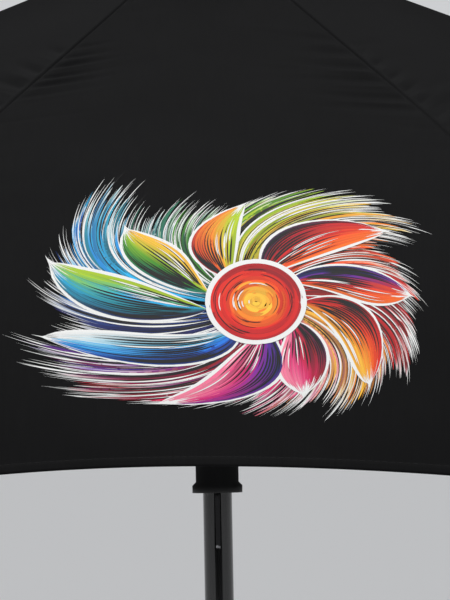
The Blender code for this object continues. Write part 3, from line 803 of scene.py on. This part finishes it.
# The disc's middle and reach in pixels of the flat layout, and how it is drawn out sideways and twisted
DISC_X, DISC_Y, DISC_REACH = 256.0, 303.0, 116.0
STRETCH, SKEW = 1.73, -0.28
SUN_STRETCH = 1.2
SWIRL = 1.05
LINE_POINTS = 19
# How far the first layer stands off the cloth, each layer off the last and each stroke off its neighbour
PRINT_LIFT, PRINT_LAYER, PRINT_STEP, STEPS_IN_LAYER = 0.00005, 0.000044, 0.0000026, 11

Stroke = namedtuple("Stroke", "points widths colours layer")


def ink(name):
    return np.array(INKS[name])


def blended(names, share):
    """A colour part of the way along a row of inks."""
    place = min(max(share, 0.0), 0.9999) * (len(names) - 1)
    first = int(place)
    return ink(names[first]) * (1 - place + first) + ink(names[first + 1]) * (place - first)


def reach(angle):
    """How far out a stroke at this angle may run, as a share of the disc: squarish, with ragged lobes."""
    end = angle + SWIRL * 0.75
    square = (abs(math.cos(end)) ** 5 + abs(math.sin(end)) ** 5) ** -0.2
    lobes = 0.05 * math.sin(5 * end + 0.6) + 0.05 * math.sin(11 * end + 2.1) + 0.03 * math.sin(23 * end)
    return square * (0.93 + lobes)


def laid_out(rho, turn):
    """Points of the flat layout at these shares of the disc's reach and these angles."""
    u, v = rho * np.cos(turn), rho * np.sin(turn)
    return np.stack([DISC_X + DISC_REACH * (STRETCH * u + SKEW * u * u), DISC_Y + DISC_REACH * v], 1)


def swirled(angle, rho, wobble, phase):
    return angle + SWIRL * (rho - 0.3) + wobble * np.sin(5.5 * rho + phase)


def bristle(angle, start, end, width, colours, layer):
    """A tapered stroke outwards. A stroke has its points in the flat layout, half widths and colours."""
    t = np.linspace(0, 1, 17)
    rho = start + (end - start) * t
    taper = np.minimum(t / 0.35 + 0.08, 1.0) * np.minimum((1 - t) / 0.65, 1.0) ** 0.7
    points = laid_out(rho, swirled(angle, rho, 0.05, 1.0))
    return Stroke(points, width * np.maximum(taper, 0.02), colours(t), layer)


def plain(colour):
    return lambda t: np.repeat(colour[None, :], len(t), 0)


def fading(colour, towards, start):
    def made(t):
        share = np.clip((t - start) / (1 - start), 0, 1)[:, None]
        return colour * (1 - share) + towards * share
    return made


def burst(draw):
    """The bristles behind the arms."""
    made = []
    kinds = (
        (BRISTLE_BACK, 460, "white", 0.88, 1.03), (BRISTLE_COLOUR, 1050, "colour", 0.80, 1.0),
        (BRISTLE_BLACK, 190, "black", 0.80, 1.0), (BRISTLE_WHITE, 150, "white", 0.80, 1.0),
    )
    for layer, count, kind, nearest, farthest in kinds:
        for _ in range(count):
            angle = draw.uniform(0, math.tau)
            end = reach(angle) * draw.uniform(nearest, farthest)
            start = max(end - draw.uniform(0.16, 0.85), 0.17)
            if kind == "colour":
                place = (angle / math.tau + draw.gauss(0, 0.02)) % 1.0
                colour = np.clip(blended(ROUND, place) * draw.uniform(0.65, 1.1), 0, 1)
                colours = fading(colour, ink("white"), 0.55) if draw.random() < 0.5 else plain(colour)
                width = draw.uniform(0.9, 2.5)
                end *= 0.97
            else:
                colours, width = plain(ink(kind)), draw.uniform(0.45, 0.9)
            made.append(bristle(angle, start, end, width, colours, layer))
    return made


def arm(draw, number):
    """One curling arm: a white rim, lines that run from dark to bright, engraved lines and highlights."""
    base = math.tau * number / len(ARMS) + draw.gauss(0, 0.05)
    names = ARMS[number]
    wide = draw.uniform(0.20, 0.27)
    length = reach(base) * draw.uniform(0.86, 0.95)
    wobble, phase = draw.uniform(0.06, 0.12), draw.uniform(0, math.tau)

    def line(across, first, last, width, colours, layer):
        t = np.linspace(first, last, LINE_POINTS)
        rho = 0.24 + (length - 0.24) * t
        open_to = np.sin(math.pi * np.clip(t, 0, 1) ** 0.8) ** 0.8
        points = laid_out(rho, swirled(base + across * wide * open_to, rho, wobble, phase))
        s = np.linspace(0, 1, LINE_POINTS)
        taper = np.minimum(s / 0.15 + 0.1, 1.0) * np.minimum((1 - s) / 0.4, 1.0) ** 0.8
        return Stroke(points, width * np.maximum(taper, 0.03), colours(s), layer)

    white, black = plain(ink("white")), plain(ink("black"))
    made = []
    for across in np.linspace(-1.12, 1.12, 30):
        made.append(line(across, 0.0, draw.uniform(0.93, 1.06), 1.8, white, ARM_RIM))
    for across in np.linspace(-0.98, 0.98, 60):
        shade = (across + 1) / 2 + draw.gauss(0, 0.07)
        colour = np.clip(blended(names, shade) * draw.uniform(0.8, 1.12), 0, 1)
        colours = fading(colour, blended(names, shade + 0.3), 0.5)
        made.append(line(across, draw.uniform(0, 0.1), draw.uniform(0.80, 0.98), 1.5, colours, ARM_COLOUR))
    for share in np.linspace(0, 1, 15):
        first = draw.uniform(0.03, 0.35)
        last, width = first + draw.uniform(0.35, 0.6), draw.uniform(0.4, 0.95)
        made.append(line(-0.95 + 1.8 * share**1.4, first, last, width, black, ARM_BLACK))
    for _ in range(6):
        first, across = draw.uniform(0.1, 0.5), draw.uniform(0.0, 0.95)
        last, width = first + draw.uniform(0.2, 0.4), draw.uniform(0.3, 0.6)
        made.append(line(across, first, last, width, white, ARM_WHITE))
    return made


def sun(draw):
    """Concentric brushed arcs inside a white rim."""
    made = []

    def arc(rho, first, turn, width, colour, layer):
        angle = first + np.linspace(0, turn, LINE_POINTS)
        across = SUN_STRETCH * rho * np.cos(angle)
        points = np.stack([DISC_X + DISC_REACH * across, DISC_Y + DISC_REACH * rho * np.sin(angle)], 1)
        s = np.linspace(0, 1, LINE_POINTS)
        taper = np.minimum(s / 0.12 + 0.1, 1.0) * np.minimum((1 - s) / 0.25 + 0.02, 1.0)
        return Stroke(points, width * taper, plain(colour)(s), layer)

    for rho in (0.32, 0.35):
        for first in np.arange(0, math.tau, math.tau / 4):
            made.append(arc(rho, first - 0.3, math.tau / 4 + 0.6, 2.2, ink("white"), SUN_RIM))
    for rho in np.linspace(0.01, 0.30, 12):
        made.append(arc(rho, 0.3, math.tau + 0.6, 3.6, blended(SUN_BANDS, rho / 0.33), SUN_RIM))
    for step, rho in enumerate(np.linspace(0.02, 0.315, 17)):
        for _ in range(3 + step // 2):
            first = draw.uniform(0, math.tau)
            colour = blended(SUN_BANDS, rho / 0.33 + draw.gauss(0, 0.08))
            turn = draw.uniform(1.4, 3.4)
            colour = np.clip(colour * draw.uniform(0.9, 1.1), 0, 1)
            made.append(arc(rho, first, turn, 1.8, colour, SUN_COLOUR))
    for step in range(20):
        rho = 0.13 + 0.18 * (step + draw.random()) / 20
        first, turn, width = draw.uniform(0, math.tau), draw.uniform(0.4, 1.3), draw.uniform(0.25, 0.5)
        made.append(arc(rho, first, turn, width, ink("black"), SUN_BLACK))
    for _ in range(9):
        rho = draw.uniform(0.05, 0.28)
        first, turn, width = draw.uniform(2.6, 4.6), draw.uniform(0.4, 1.0), draw.uniform(0.3, 0.6)
        made.append(arc(rho, first, turn, width, ink("white"), SUN_WHITE))
    return made


def design_strokes():
    draw = random.Random(41)
    made = burst(draw)
    for number in range(len(ARMS)):
        made += arm(draw, number)
    return made + sun(draw)


def linear(colours):
    """Inks as amounts of light, from the values that a screen takes."""
    return np.where(colours <= 0.04045, colours / 12.92, ((np.maximum(colours, 0) + 0.055) / 1.055) ** 2.4)


def on_front_gore(gore, layout):
    """Station and place aside on the front gore where the camera sees each point of the flat layout."""
    stand, right, up, back = (np.array(v) for v in camera_axes())
    station, aside = np.full(len(layout), 0.36), np.zeros(len(layout))
    for _ in range(14):
        away = gore.surface(station, aside)[0] - stand
        depth = -(away @ back)
        x = FRAME_WIDTH_PX / 2 + PIXELS_PER_SLOPE * (away @ right) / depth
        y = FRAME_HEIGHT_PX / 2 - PIXELS_PER_SLOPE * (away @ up) / depth
        scale = PIXELS_PER_SLOPE / depth
        aside = np.clip(aside + (layout[:, 0] - x) / (scale * station * math.sin(HALF_STEP)), -0.995, 0.995)
        station = np.clip(station + (layout[:, 1] - y) / (scale * 0.62), 0.03, TIP_RADIUS)
    return station, aside


def stroke_edge(gore, layout, lift):
    """One edge of the strokes on the cloth, with its place on the flat cloth in two more columns."""
    station, aside = on_front_gore(gore, layout)
    points, outward, _ = gore.surface(station, aside)
    along = np.interp(station, station_list(), along_rib(station_list()))
    return np.column_stack([points + outward * lift[:, None], aside * station * math.sin(HALF_STEP), along])


def ink_film(gore):
    """The strokes as ribbons of ink on the cloth, cut from one grid with a row for each of their points."""
    strokes = sorted(design_strokes(), key=lambda stroke: stroke.layer)
    sizes = [len(stroke.points) for stroke in strokes]
    number = np.repeat(np.arange(len(strokes)), sizes)
    layer = np.repeat([stroke.layer for stroke in strokes], sizes)
    middle = np.concatenate([stroke.points for stroke in strokes])
    ahead = np.concatenate([np.gradient(stroke.points, axis=0) for stroke in strokes])
    ahead /= np.maximum(np.linalg.norm(ahead, axis=1, keepdims=True), 1e-9)
    width = np.concatenate([stroke.widths for stroke in strokes])
    across = np.stack([-ahead[:, 1], ahead[:, 0]], 1) * width[:, None]
    lift = CLOTH_THICKNESS / 2 + PRINT_LIFT + PRINT_LAYER * layer + PRINT_STEP * (number % STEPS_IN_LAYER)
    edges = np.array([stroke_edge(gore, middle + sign * across, lift) for sign in (-1, 1)])
    bm = bmesh.new()
    inks = bm.verts.layers.float_color.new("ink")
    row, column = laid_grid(bm, len(middle) - 1, 1)
    places = edges[column, row]
    set_places(bm, places[:, :3], places[:, 3], places[:, 4])
    colour = linear(np.clip(np.concatenate([stroke.colours for stroke in strokes]), 0, 1))
    for vert, at in zip(bm.verts, row):
        vert[inks] = (*colour[at], 1.0)
    bm.verts.index_update()
    between = [f for f in bm.faces if len({int(number[row[v.index]]) for v in f.verts}) > 1]
    bmesh.ops.delete(bm, geom=between, context="FACES")
    if sum(f.normal.z for f in bm.faces) < 0:
        bmesh.ops.reverse_faces(bm, faces=bm.faces)
    return bm


def make_print(gore):
    """The ink in one piece for each half of the gore, as lists by half."""
    whole = ink_film(gore)
    films = {}
    for half, rib, side in (("left", 1, -1), ("right", 2, 1)):
        own = whole.copy()
        bmesh.ops.bisect_plane(
            own, geom=[*own.verts, *own.edges, *own.faces], dist=1e-7, plane_co=(0, 0, 0), plane_no=(1, 0, 0),
            clear_outer=half == "left", clear_inner=half == "right",
        )
        film = piece(f"print_{half}", own, "ink", f"rib_{rib}_frame", "canopy_fabric")
        fold_with(film, rib, side)
        films[half] = [film]
    whole.free()
    return films


# Ribs, stretchers and thread ties

EYE_RADIUS, EYE_HOLE = 0.002, 0.0009
# Sections as (aside, up) points, in millimetres
RIB_SECTION = ((1.5, -1.3), (1.5, 0.85), (1.36, 1.16), (1.05, 1.3), (-1.05, 1.3), (-1.36, 1.16), (-1.5, 0.85),
               (-1.5, -1.3), (-1.0, -1.3), (-1.0, 0.62), (-0.82, 0.8), (0.82, 0.8), (1.0, 0.62), (1.0, -1.3))
STRETCHER_SECTION = ((0.9, -0.8), (0.9, 0.8), (0.55, 1.2), (-0.55, 1.2), (-0.9, 0.8), (-0.9, -0.8),
                     (-0.55, -1.2), (-0.3, -1.2), (-0.2, -0.5), (0.2, -0.5), (0.3, -1.2), (0.55, -1.2))
THREAD = 0.00016
RIB_TIES_AT = (0.30, 0.41)


def millimetres(outline):
    return [(a / 1000, b / 1000) for a, b in outline]


def on_pin(bm, centre):
    """Turns a round shape's axis across the rib's plane, at this point of the plane."""
    return moved(bm, Matrix.Translation((centre[0], 0, centre[1])) @ Matrix.Rotation(math.pi / 2, 4, "X"))


def eye(centre, outer, width):
    """A pierced round end that turns on a pin across the rib's plane."""
    return on_pin(sleeve(outer, EYE_HOLE, -width / 2, width / 2, 20, 0.0002), centre)


def rivet(centre, width):
    """A rivet across the rib's plane with a domed head at each end."""
    bm = bmesh.new()
    bmesh.ops.create_cone(bm, cap_ends=True, segments=12, radius1=0.0006, radius2=0.0006, depth=width)
    for end in (-1, 1):
        bmesh.ops.create_uvsphere(
            bm, u_segments=12, v_segments=6, radius=0.0013,
            matrix=Matrix.Translation((0, 0, end * width / 2)) @ Matrix.Diagonal((1, 1, 0.45, 1)),
        )
    return on_pin(bm, centre)


def make_rib():
    """A pressed steel channel, open below, with its eye at the crown and two ears for the stretcher."""
    start = PIVOT_RADIUS + EYE_RADIUS * 0.8
    count = 84
    places = [start + (TIP_RADIUS - start) * i / count for i in range(count + 1)]
    channel = bent_to_rib(swept(millimetres(RIB_SECTION), places))
    fall = math.atan(rib_slope(JOINT_RADIUS))
    lean = Matrix.Translation((JOINT_RADIUS, 0, JOINT_HEIGHT)) @ Matrix.Rotation(fall, 4, "Y")
    ears = [
        moved(block((-0.0026, min(a, b), -0.0019), (0.0026, max(a, b), 0.0039), 0.0004), lean)
        for a, b in ((0.0012, 0.0020), (-0.0012, -0.0020))
    ]
    joint = rivet((JOINT_RADIUS, JOINT_HEIGHT), 0.0042)
    return joined(channel, eye((PIVOT_RADIUS, 0.0), EYE_RADIUS, RIB_WIDTH), *ears, joint)


def make_stretcher():
    """A fluted bar between two pierced ends, from the runner up to the rib's rivet."""
    inner, outer = Vector((PIVOT_RADIUS, 0, -RUNNER_OPEN)), Vector((JOINT_RADIUS, 0, JOINT_HEIGHT))
    line = outer - inner
    reach_in = EYE_RADIUS * 0.55
    bar = swept(millimetres(STRETCHER_SECTION), [reach_in, 0.01, line.length - 0.01, line.length - reach_in])
    moved(bar, Matrix.Translation(inner) @ Matrix.Rotation(-math.atan2(line.z, line.x), 4, "Y"))
    return joined(bar, *(eye((at.x, at.z), 0.0017, 0.0018) for at in (inner, outer)))


def tip_place():
    """Stands a shape on the rib's end: its +Z then runs on down the rib's line."""
    fall = math.atan(rib_slope(TIP_RADIUS))
    end = (TIP_RADIUS + PIECE_GAP * math.cos(fall), 0, rib_height(TIP_RADIUS) - PIECE_GAP * math.sin(fall))
    return Matrix.Translation(end) @ Matrix.Rotation(math.pi / 2 + fall, 4, "Y")


def make_rib_tip():
    """The turned end of a rib: a bead, a neck for the thread that holds the gores' corner, and a sleeve."""
    angles = [math.radians(angle) for angle in range(12, 100, 12)]
    bead = [(0.0023 * math.sin(angle), 0.0067 + 0.0023 * math.cos(angle)) for angle in angles]
    neck = [(0.0018, 0.0048), (0.0015, 0.0041), (0.0015, 0.0033), (0.0020, 0.0027)]
    foot = [(0.0022, 0.0018), (0.0021, 0.0), (0.0, 0.0)]
    return moved(turned([(0.0, 0.009), *bead, *neck, *foot], 24), tip_place())


def strand(points):
    """A length of thread through these points."""
    bm = bmesh.new()
    for start, end in zip(points, points[1:]):
        way = end - start
        lay = Matrix.Translation((start + end) / 2) @ way.to_track_quat("Z", "Y").to_matrix().to_4x4()
        bmesh.ops.create_cone(
            bm, cap_ends=True, segments=6, radius1=THREAD, radius2=THREAD, depth=way.length + THREAD,
            matrix=lay,
        )
    return bm


def make_thread_ties():
    """The whippings that hold the gores' corner to the rib's tip and their seam to the rib."""
    neck = tip_place()
    parts = []
    for at in (0.0034, 0.0037, 0.0040):
        parts.append(moved(ring(0.00166, THREAD, 16, 6), neck @ Matrix.Translation((0, 0, at))))
    for aside in (-0.0007, 0.0, 0.0007):
        from_neck = neck @ Vector((-0.0016, aside, 0.0037))
        over_hem = on_rib_line(TIP_RADIUS - 0.0002, FABRIC_CLEAR + 0.00035) @ Vector((0, aside * 1.6, 0))
        sewn = on_rib_line(TIP_RADIUS - 0.0030, FABRIC_CLEAR + 0.00005) @ Vector((0, aside * 1.6, 0))
        parts.append(strand([from_neck, over_hem, sewn]))
    oval = Matrix.Diagonal((1, 0.0020, 0.00165, 1)) @ Matrix.Rotation(math.pi / 2, 4, "Y")
    for radius in RIB_TIES_AT:
        for turn in (-1, 0, 1):
            loop = moved(ring(1.0, 0.085, 16, 6), oval)
            for vert in loop.verts:
                vert.co.x *= THREAD / 0.085
            parts.append(moved(loop, on_rib_line(radius + turn * 0.00036, 0.0001)))
    return joined(*parts)


def make_arms():
    kinds = (
        ("rib", make_rib(), "rib_{}_frame", "rib steel", "black_steel", ["rib_{}"]),
        ("stretcher", make_stretcher(), "stretcher_{}_arm", "rib steel", "black_steel", ["stretcher_{}"]),
        ("rib_tip", make_rib_tip(), "rib_{}_frame", "black plastic", "black_plastic", ["rib_tip_{}"]),
        ("thread_ties", make_thread_ties(), "rib_{}_frame", "thread", "canopy_fabric", []),
    )
    for name, source, body, finish, slot, stands_for in kinds:
        for number in range(1, RIBS + 1):
            own = moved(source.copy(), rib_matrix(number))
            nodes = [node_name.format(number) for node_name in stands_for]
            piece(f"{name}_{number}_made", own, finish, body.format(number), slot, nodes, 38)
        source.free()


# Shaft, crown, runner and top

SHAFT_RADIUS, SHAFT_BORE = 0.006, 0.0052
SHAFT_FOOT, SHAFT_TOP = 0.0473, 0.675
MOULDED_EDGE = 0.00025
CAP_HOLE, CAP_RADIUS = 0.0063, 0.0155
LATCH_TURN = math.radians(-90)
LATCH_WINDOW = 0.0014
# Outlines in millimetres: the latch blade's as (out, up) points below its top, and those of the turned
# pieces as (radius, height) points
LATCH_BLADE = ((7.9, 0), (7.9, -1.2), (7.75, -3.2), (7.4, -7), (6.9, -12.5), (6.45, -17.5), (6.15, -20.3),
               (5.6, -21.6), (5.05, -22.5), (4.9, -24), (4.2, -24), (4.3, -22.4), (4.9, -21.0), (5.5, -19.4),
               (6.1, -15), (6.5, -9), (6.8, -4), (6.9, -1.6), (6.6, -1.4), (6.6, 0))
FERRULE_FOOT, FERRULE_LENGTH = 0.0103, 0.074
FERRULE = ((0, 74), (4.2, 74), (4.5, 68), (5.0, 50), (5.4, 34), (5.8, 20), (6.2, 15), (7.0, 11), (7.2, 9),
           (7.2, 7.4), (8.4, 5.6), (9.5, 3.6), (9.5, 0), (0, 0))
FERRULE_TIP = ((0, 18), (2.0, 18), (3.0, 17.4), (3.4, 16.5), (4.1, 4.0), (4.4, 3.2), (4.4, 0), (0, 0))


def window_faces(bm, low, high, near):
    """Cuts near faces along a window's sides, given as its corners in X and Z, and returns those inside."""
    for axis in (0, 2):
        for place in (low[axis], high[axis]):
            faces = [f for f in bm.faces if near(f.calc_center_median())]
            geom = list({item for face in faces for item in (face, *face.edges, *face.verts)})
            way = Vector([float(i == axis) for i in range(3)])
            bmesh.ops.bisect_plane(bm, geom=geom, dist=1e-7, plane_co=way * place, plane_no=way)
    inside = []
    for face in bm.faces:
        at = face.calc_center_median()
        if near(at) and low[0] < at.x < high[0] and low[2] < at.z < high[2]:
            inside.append(face)
    return inside


def make_shaft():
    """The tube with a window for each latch, and the two latch blades that stand out through them."""
    tube = sleeve(SHAFT_RADIUS, SHAFT_BORE, SHAFT_FOOT, SHAFT_TOP, 60, 0.0001)
    for top in (UPPER_LATCH_TOP, LOWER_LATCH_TOP):
        low = (-LATCH_WINDOW, 0, top - LATCH_LENGTH - 0.001)
        high = (LATCH_WINDOW, 0, top + 0.001)
        faces = window_faces(tube, low, high, lambda at: at.y < -0.001)
        bmesh.ops.delete(tube, geom=faces, context="FACES")
        bmesh.ops.bridge_loops(tube, edges=[e for e in tube.edges if e.is_boundary])
    bmesh.ops.recalc_face_normals(tube, faces=tube.faces)
    rounded_edges(tube, 0.0001, 50.0)
    fixed("shaft_tube", tube, "shaft steel", "black_steel", "shaft", 30)
    for name, top in (("upper", UPPER_LATCH_TOP), ("lower", LOWER_LATCH_TOP)):
        blade = plate(millimetres(LATCH_BLADE), 0.002, 0.00015)
        moved(blade, Matrix.Translation((0, 0, top)) @ Matrix.Rotation(LATCH_TURN, 4, "Z"))
        fixed(f"{name}_latch_blade", blade, f"{name} blade", "bright_steel", f"{name}_latch", 30)


def make_crown_and_runner():
    crown, runner = from_node("crown_notch", MOULDED_EDGE), from_node("runner", MOULDED_EDGE)
    fixed("crown", crown, "black plastic", "black_plastic", "crown_notch", 30)
    piece("runner_made", runner, "black plastic", "runner", "black_plastic", ["runner"], 30)
    wire = moved(ring(PIVOT_RADIUS, 0.0005, 64, 10), Matrix.Translation((0, 0, CROWN_Z - RUNNER_OPEN)))
    piece("runner_wire", wire, "wire steel", "runner", "bright_steel")


def lifted(bm, height):
    return moved(bm, Matrix.Translation((0, 0, height)))


def make_top():
    """The cap, seated on the cloth all round, with the ferrule and its metal tip above it."""
    over = CAD_FABRIC / 2 + PIECE_GAP * 2
    seat = [(at, float(cloth_height(at)) + over) for at in (0.0075, 0.0105, 0.0135)]
    foot, crest = float(cloth_height(CAP_RADIUS)) + over, seat[1][1]
    outline = [(CAP_HOLE, 0.0100), (0.0096, 0.0096), (0.0120, crest + 0.0022), (0.0137, crest + 0.0014),
               (0.0150, foot + 0.0019), (CAP_RADIUS, foot + 0.0012), (CAP_RADIUS, foot), *reversed(seat),
               (CAP_HOLE, seat[0][1])]
    cap = lifted(turned(outline, 64, 0.0002), CROWN_Z)
    fixed("cap", cap, "black plastic", "black_plastic", "top_cap")
    ferrule = lifted(turned(millimetres(FERRULE), 48, 0.0003), CROWN_Z + FERRULE_FOOT)
    fixed("ferrule_made", ferrule, "black plastic", "black_plastic", "ferrule")
    tip_foot = CROWN_Z + FERRULE_FOOT + FERRULE_LENGTH + PIECE_GAP
    tip = lifted(turned(millimetres(FERRULE_TIP), 48, 0.00025), tip_foot)
    fixed("ferrule_tip_made", tip, "bright steel", "bright_steel", "ferrule_tip")


# Handle

GRIP_RADIUS = 0.0115
GRIP_TOP, GRIP_BOTTOM = 0.047, -0.048
CROOK_RADIUS, CROOK_RISE = 0.040, 0.014
BUTTON_HALF_WIDTH, BUTTON_FOOT, BUTTON_HEAD = 0.0035, 0.023, 0.037
BUTTON_FRONT, BUTTON_BACK = -0.0132, -0.0088
POCKET_FLOOR, POCKET_GAP = -0.0071, 0.0003
RIDGE_PITCH, RIDGE_HALF_WIDTH = 0.0018, 0.0023
COLLAR = ((6.3, 14), (9.2, 14), (10.6, 12.5), (11.8, 9.8), (11.8, 8.8), (11.3, 8.4), (11.3, 7.7),
          (11.8, 7.3), (11.8, 0), (6.3, 0))


def drawn_on(bm, face, step):
    """Draws the bar's end face on by a step and returns the new end face."""
    made = bmesh.ops.extrude_face_region(bm, geom=[face])["geom"]
    bmesh.ops.translate(bm, verts=only(bmesh.types.BMVert, made), vec=step)
    bm.faces.remove(face)
    return only(bmesh.types.BMFace, made)[0]


def crook_bar():
    """The crook as one bent bar: a circle drawn down the grip, spun round the bend and closed with a dome."""
    bm = bmesh.new()
    bmesh.ops.create_circle(
        bm, cap_ends=True, segments=48, radius=GRIP_RADIUS, matrix=Matrix.Translation((0, 0, GRIP_TOP))
    )
    end = list(bm.faces)[0]
    top = list(end.verts)
    for _ in range(10):
        end = drawn_on(bm, end, (0, 0, (GRIP_BOTTOM - GRIP_TOP) / 10))
    made = bmesh.ops.spin(
        bm, geom=[end], cent=(CROOK_RADIUS, 0, GRIP_BOTTOM), axis=(0, 1, 0), angle=-math.pi, steps=48
    )
    bm.faces.remove(end)
    end = only(bmesh.types.BMFace, made["geom_last"])[0]
    for _ in range(3):
        end = drawn_on(bm, end, (0, 0, CROOK_RISE / 3))
    dome = [math.radians(angle) for angle in (0, 12, 24, 36, 48, 60, 72, 82)]
    for before, after in zip(dome, dome[1:]):
        end = drawn_on(bm, end, (0, 0, GRIP_RADIUS * (math.sin(after) - math.sin(before))))
        share = math.cos(after) / math.cos(before)
        bmesh.ops.scale(
            bm, verts=end.verts, vec=(share, share, 1), space=Matrix.Translation((-2 * CROOK_RADIUS, 0, 0))
        )
    bm.faces.new(top)
    return rounded_edges(tidy(bm), 0.0008, 60.0, 3)


def make_crook():
    """The crook handle with the pocket that the push button sits in."""
    crook = crook_bar()
    low = (-BUTTON_HALF_WIDTH - POCKET_GAP, 0, BUTTON_FOOT - POCKET_GAP)
    high = (BUTTON_HALF_WIDTH + POCKET_GAP, 0, BUTTON_HEAD + POCKET_GAP)
    faces = window_faces(crook, low, high, lambda at: at.y < -0.003 and 0.001 < at.z < GRIP_TOP - 0.002)
    edges = {edge for face in faces for edge in face.edges}
    made = bmesh.ops.extrude_face_region(crook, geom=[*faces, *edges])["geom"]
    for vert in only(bmesh.types.BMVert, made):
        vert.co.y = POCKET_FLOOR
    rounded_edges(tidy(crook), 0.0002, 50.0)
    fixed("crook", crook, "soft grip", "soft_grip", "handle", 35)


def make_button():
    """The push button with five ridges across its front."""
    low, high = (-BUTTON_HALF_WIDTH, BUTTON_FRONT, BUTTON_FOOT), (BUTTON_HALF_WIDTH, BUTTON_BACK, BUTTON_HEAD)
    parts = [block(low, high, 0.0009, 4)]
    for step in (-2, -1, 0, 1, 2):
        middle = (BUTTON_FOOT + BUTTON_HEAD) / 2 + step * RIDGE_PITCH
        low = (-RIDGE_HALF_WIDTH, BUTTON_FRONT - 0.00035, middle - 0.0004)
        high = (RIDGE_HALF_WIDTH, BUTTON_FRONT + 0.0005, middle + 0.0004)
        parts.append(block(low, high, 0.0003))
    piece("button", joined(*parts), "black plastic", "push_button", "black_plastic", ["push_button"], 40)


def make_collar():
    collar = lifted(turned(millimetres(COLLAR), 64, 0.00015), GRIP_TOP + PIECE_GAP)
    fixed("collar", collar, "bright steel", "bright_steel", "handle_collar")


# Tie strap

STRAP_RIB = 5
STRAP_FROM, STRAP_TO = 0.60, 0.90
STRAP_WIDTH, STRAP_THICKNESS, STRAP_DROOP = 0.018, 0.0011, 0.0010
STRAP_CLEAR = CAD_FABRIC / 2 + PIECE_GAP + 0.0008 + PUFF * 0.6
SNAP_CAP = ((0, 1.7), (1.6, 1.62), (3.0, 1.32), (4.2, 0.82), (4.8, 0.42), (5.0, 0.1), (5.0, -0.3), (0, -0.3))
SNAP_STUD = ((0, 2.3), (1.1, 2.3), (1.75, 2.0), (1.9, 1.6), (1.6, 1.1), (1.6, 0.6), (3.6, 0.5), (4.0, 0.2),
             (4.0, -0.3), (0, -0.3))


def strap_place(radius, across):
    """A point of the strap's middle surface and its outward way, in the plane of its rib."""
    up = STRAP_CLEAR - STRAP_DROOP * (np.abs(across) / (STRAP_WIDTH / 2)) ** 1.5
    outward = outward_way(np.arctan(rib_slope(radius)))
    return np.stack([radius, across, cloth_height(radius)], -1) + outward * up[..., None], outward


def on_strap(radius):
    """Stands a shape on the strap's outer side at this radius."""
    at, outward = strap_place(np.array(radius), np.array(0.0))
    fall = math.atan2(outward[0], outward[2])
    return Matrix.Translation(at + outward * STRAP_THICKNESS / 2) @ Matrix.Rotation(fall, 4, "Y")


def strap_stitches(start):
    """The stitched box and cross that hold the strap's inner end."""
    size, edge = 0.012, 0.0055
    corners = [(start, -edge), (start + size, -edge), (start + size, edge), (start, edge)]
    lines = [(corners[i], corners[(i + 1) % 4]) for i in range(4)]
    lines += [(corners[0], corners[2]), (corners[1], corners[3])]
    bm = bmesh.new()
    for (first, first_aside), (last, last_aside) in lines:
        along, aside = last - first, last_aside - first_aside
        count = round(math.hypot(along, aside) / 0.0022)
        for i in range(count):
            share = (i + 0.5) / count
            at, outward = strap_place(np.array(first + along * share), np.array(first_aside + aside * share))
            fall = math.atan2(outward[0], outward[2])
            ahead = (along * math.cos(fall), aside, -along * math.sin(fall))
            add_stitch(bm, Vector(at) + Vector(outward) * STRAP_THICKNESS / 2, ahead, outward, 0.0009)
    return bm


def make_strap():
    """The tie strap with its snap, sewn to a seam at its inner end and laid down the canopy over it."""
    rows, columns = 48, 8
    bm = bmesh.new()
    row, column = laid_grid(bm, rows, columns)
    first, length = STRAP_FROM * TIP_RADIUS, (STRAP_TO - STRAP_FROM) * TIP_RADIUS
    radius = first + length * row / rows
    across = (column / columns - 0.5) * STRAP_WIDTH
    round_end = np.clip((length * row / rows - length) / (STRAP_WIDTH / 2) + 1, 0, 1)
    across = across * np.sqrt(np.maximum(1 - round_end**2, 0.04))
    set_places(bm, strap_place(radius, across)[0], across, radius)
    lay = rib_matrix(STRAP_RIB)
    body, slot = f"rib_{STRAP_RIB}_frame", "strap_fabric"
    strap = piece("tie_strap_made", moved(bm, lay), "webbing", body, slot, ["tie_strap"])
    thicken(strap, STRAP_THICKNESS)
    stitches = piece("tie_strap_stitches", moved(strap_stitches(first + 0.003), lay), "thread", body, slot)
    cap = moved(turned(millimetres(SNAP_CAP), 32, 0.0001), on_strap(first + length - 0.013))
    stud = moved(turned(millimetres(SNAP_STUD), 32, 0.0001), on_strap(first + 0.026))
    snap = piece("tie_strap_snap", moved(joined(cap, stud), lay), "wire steel", body, slot, (), 30)


make_stage()
make_light("key", (-0.8, -2.8, 2.6), (0, 0, 0.5), 2.4, 11)
make_light("top", (-0.1, 0.9, 3.0), (0, -0.2, 0.6), 1.8, 53)
make_camera()
make_canopy()
make_arms()
make_shaft()
make_crown_and_runner()
make_top()
make_crook()
make_button()
make_collar()
make_strap()
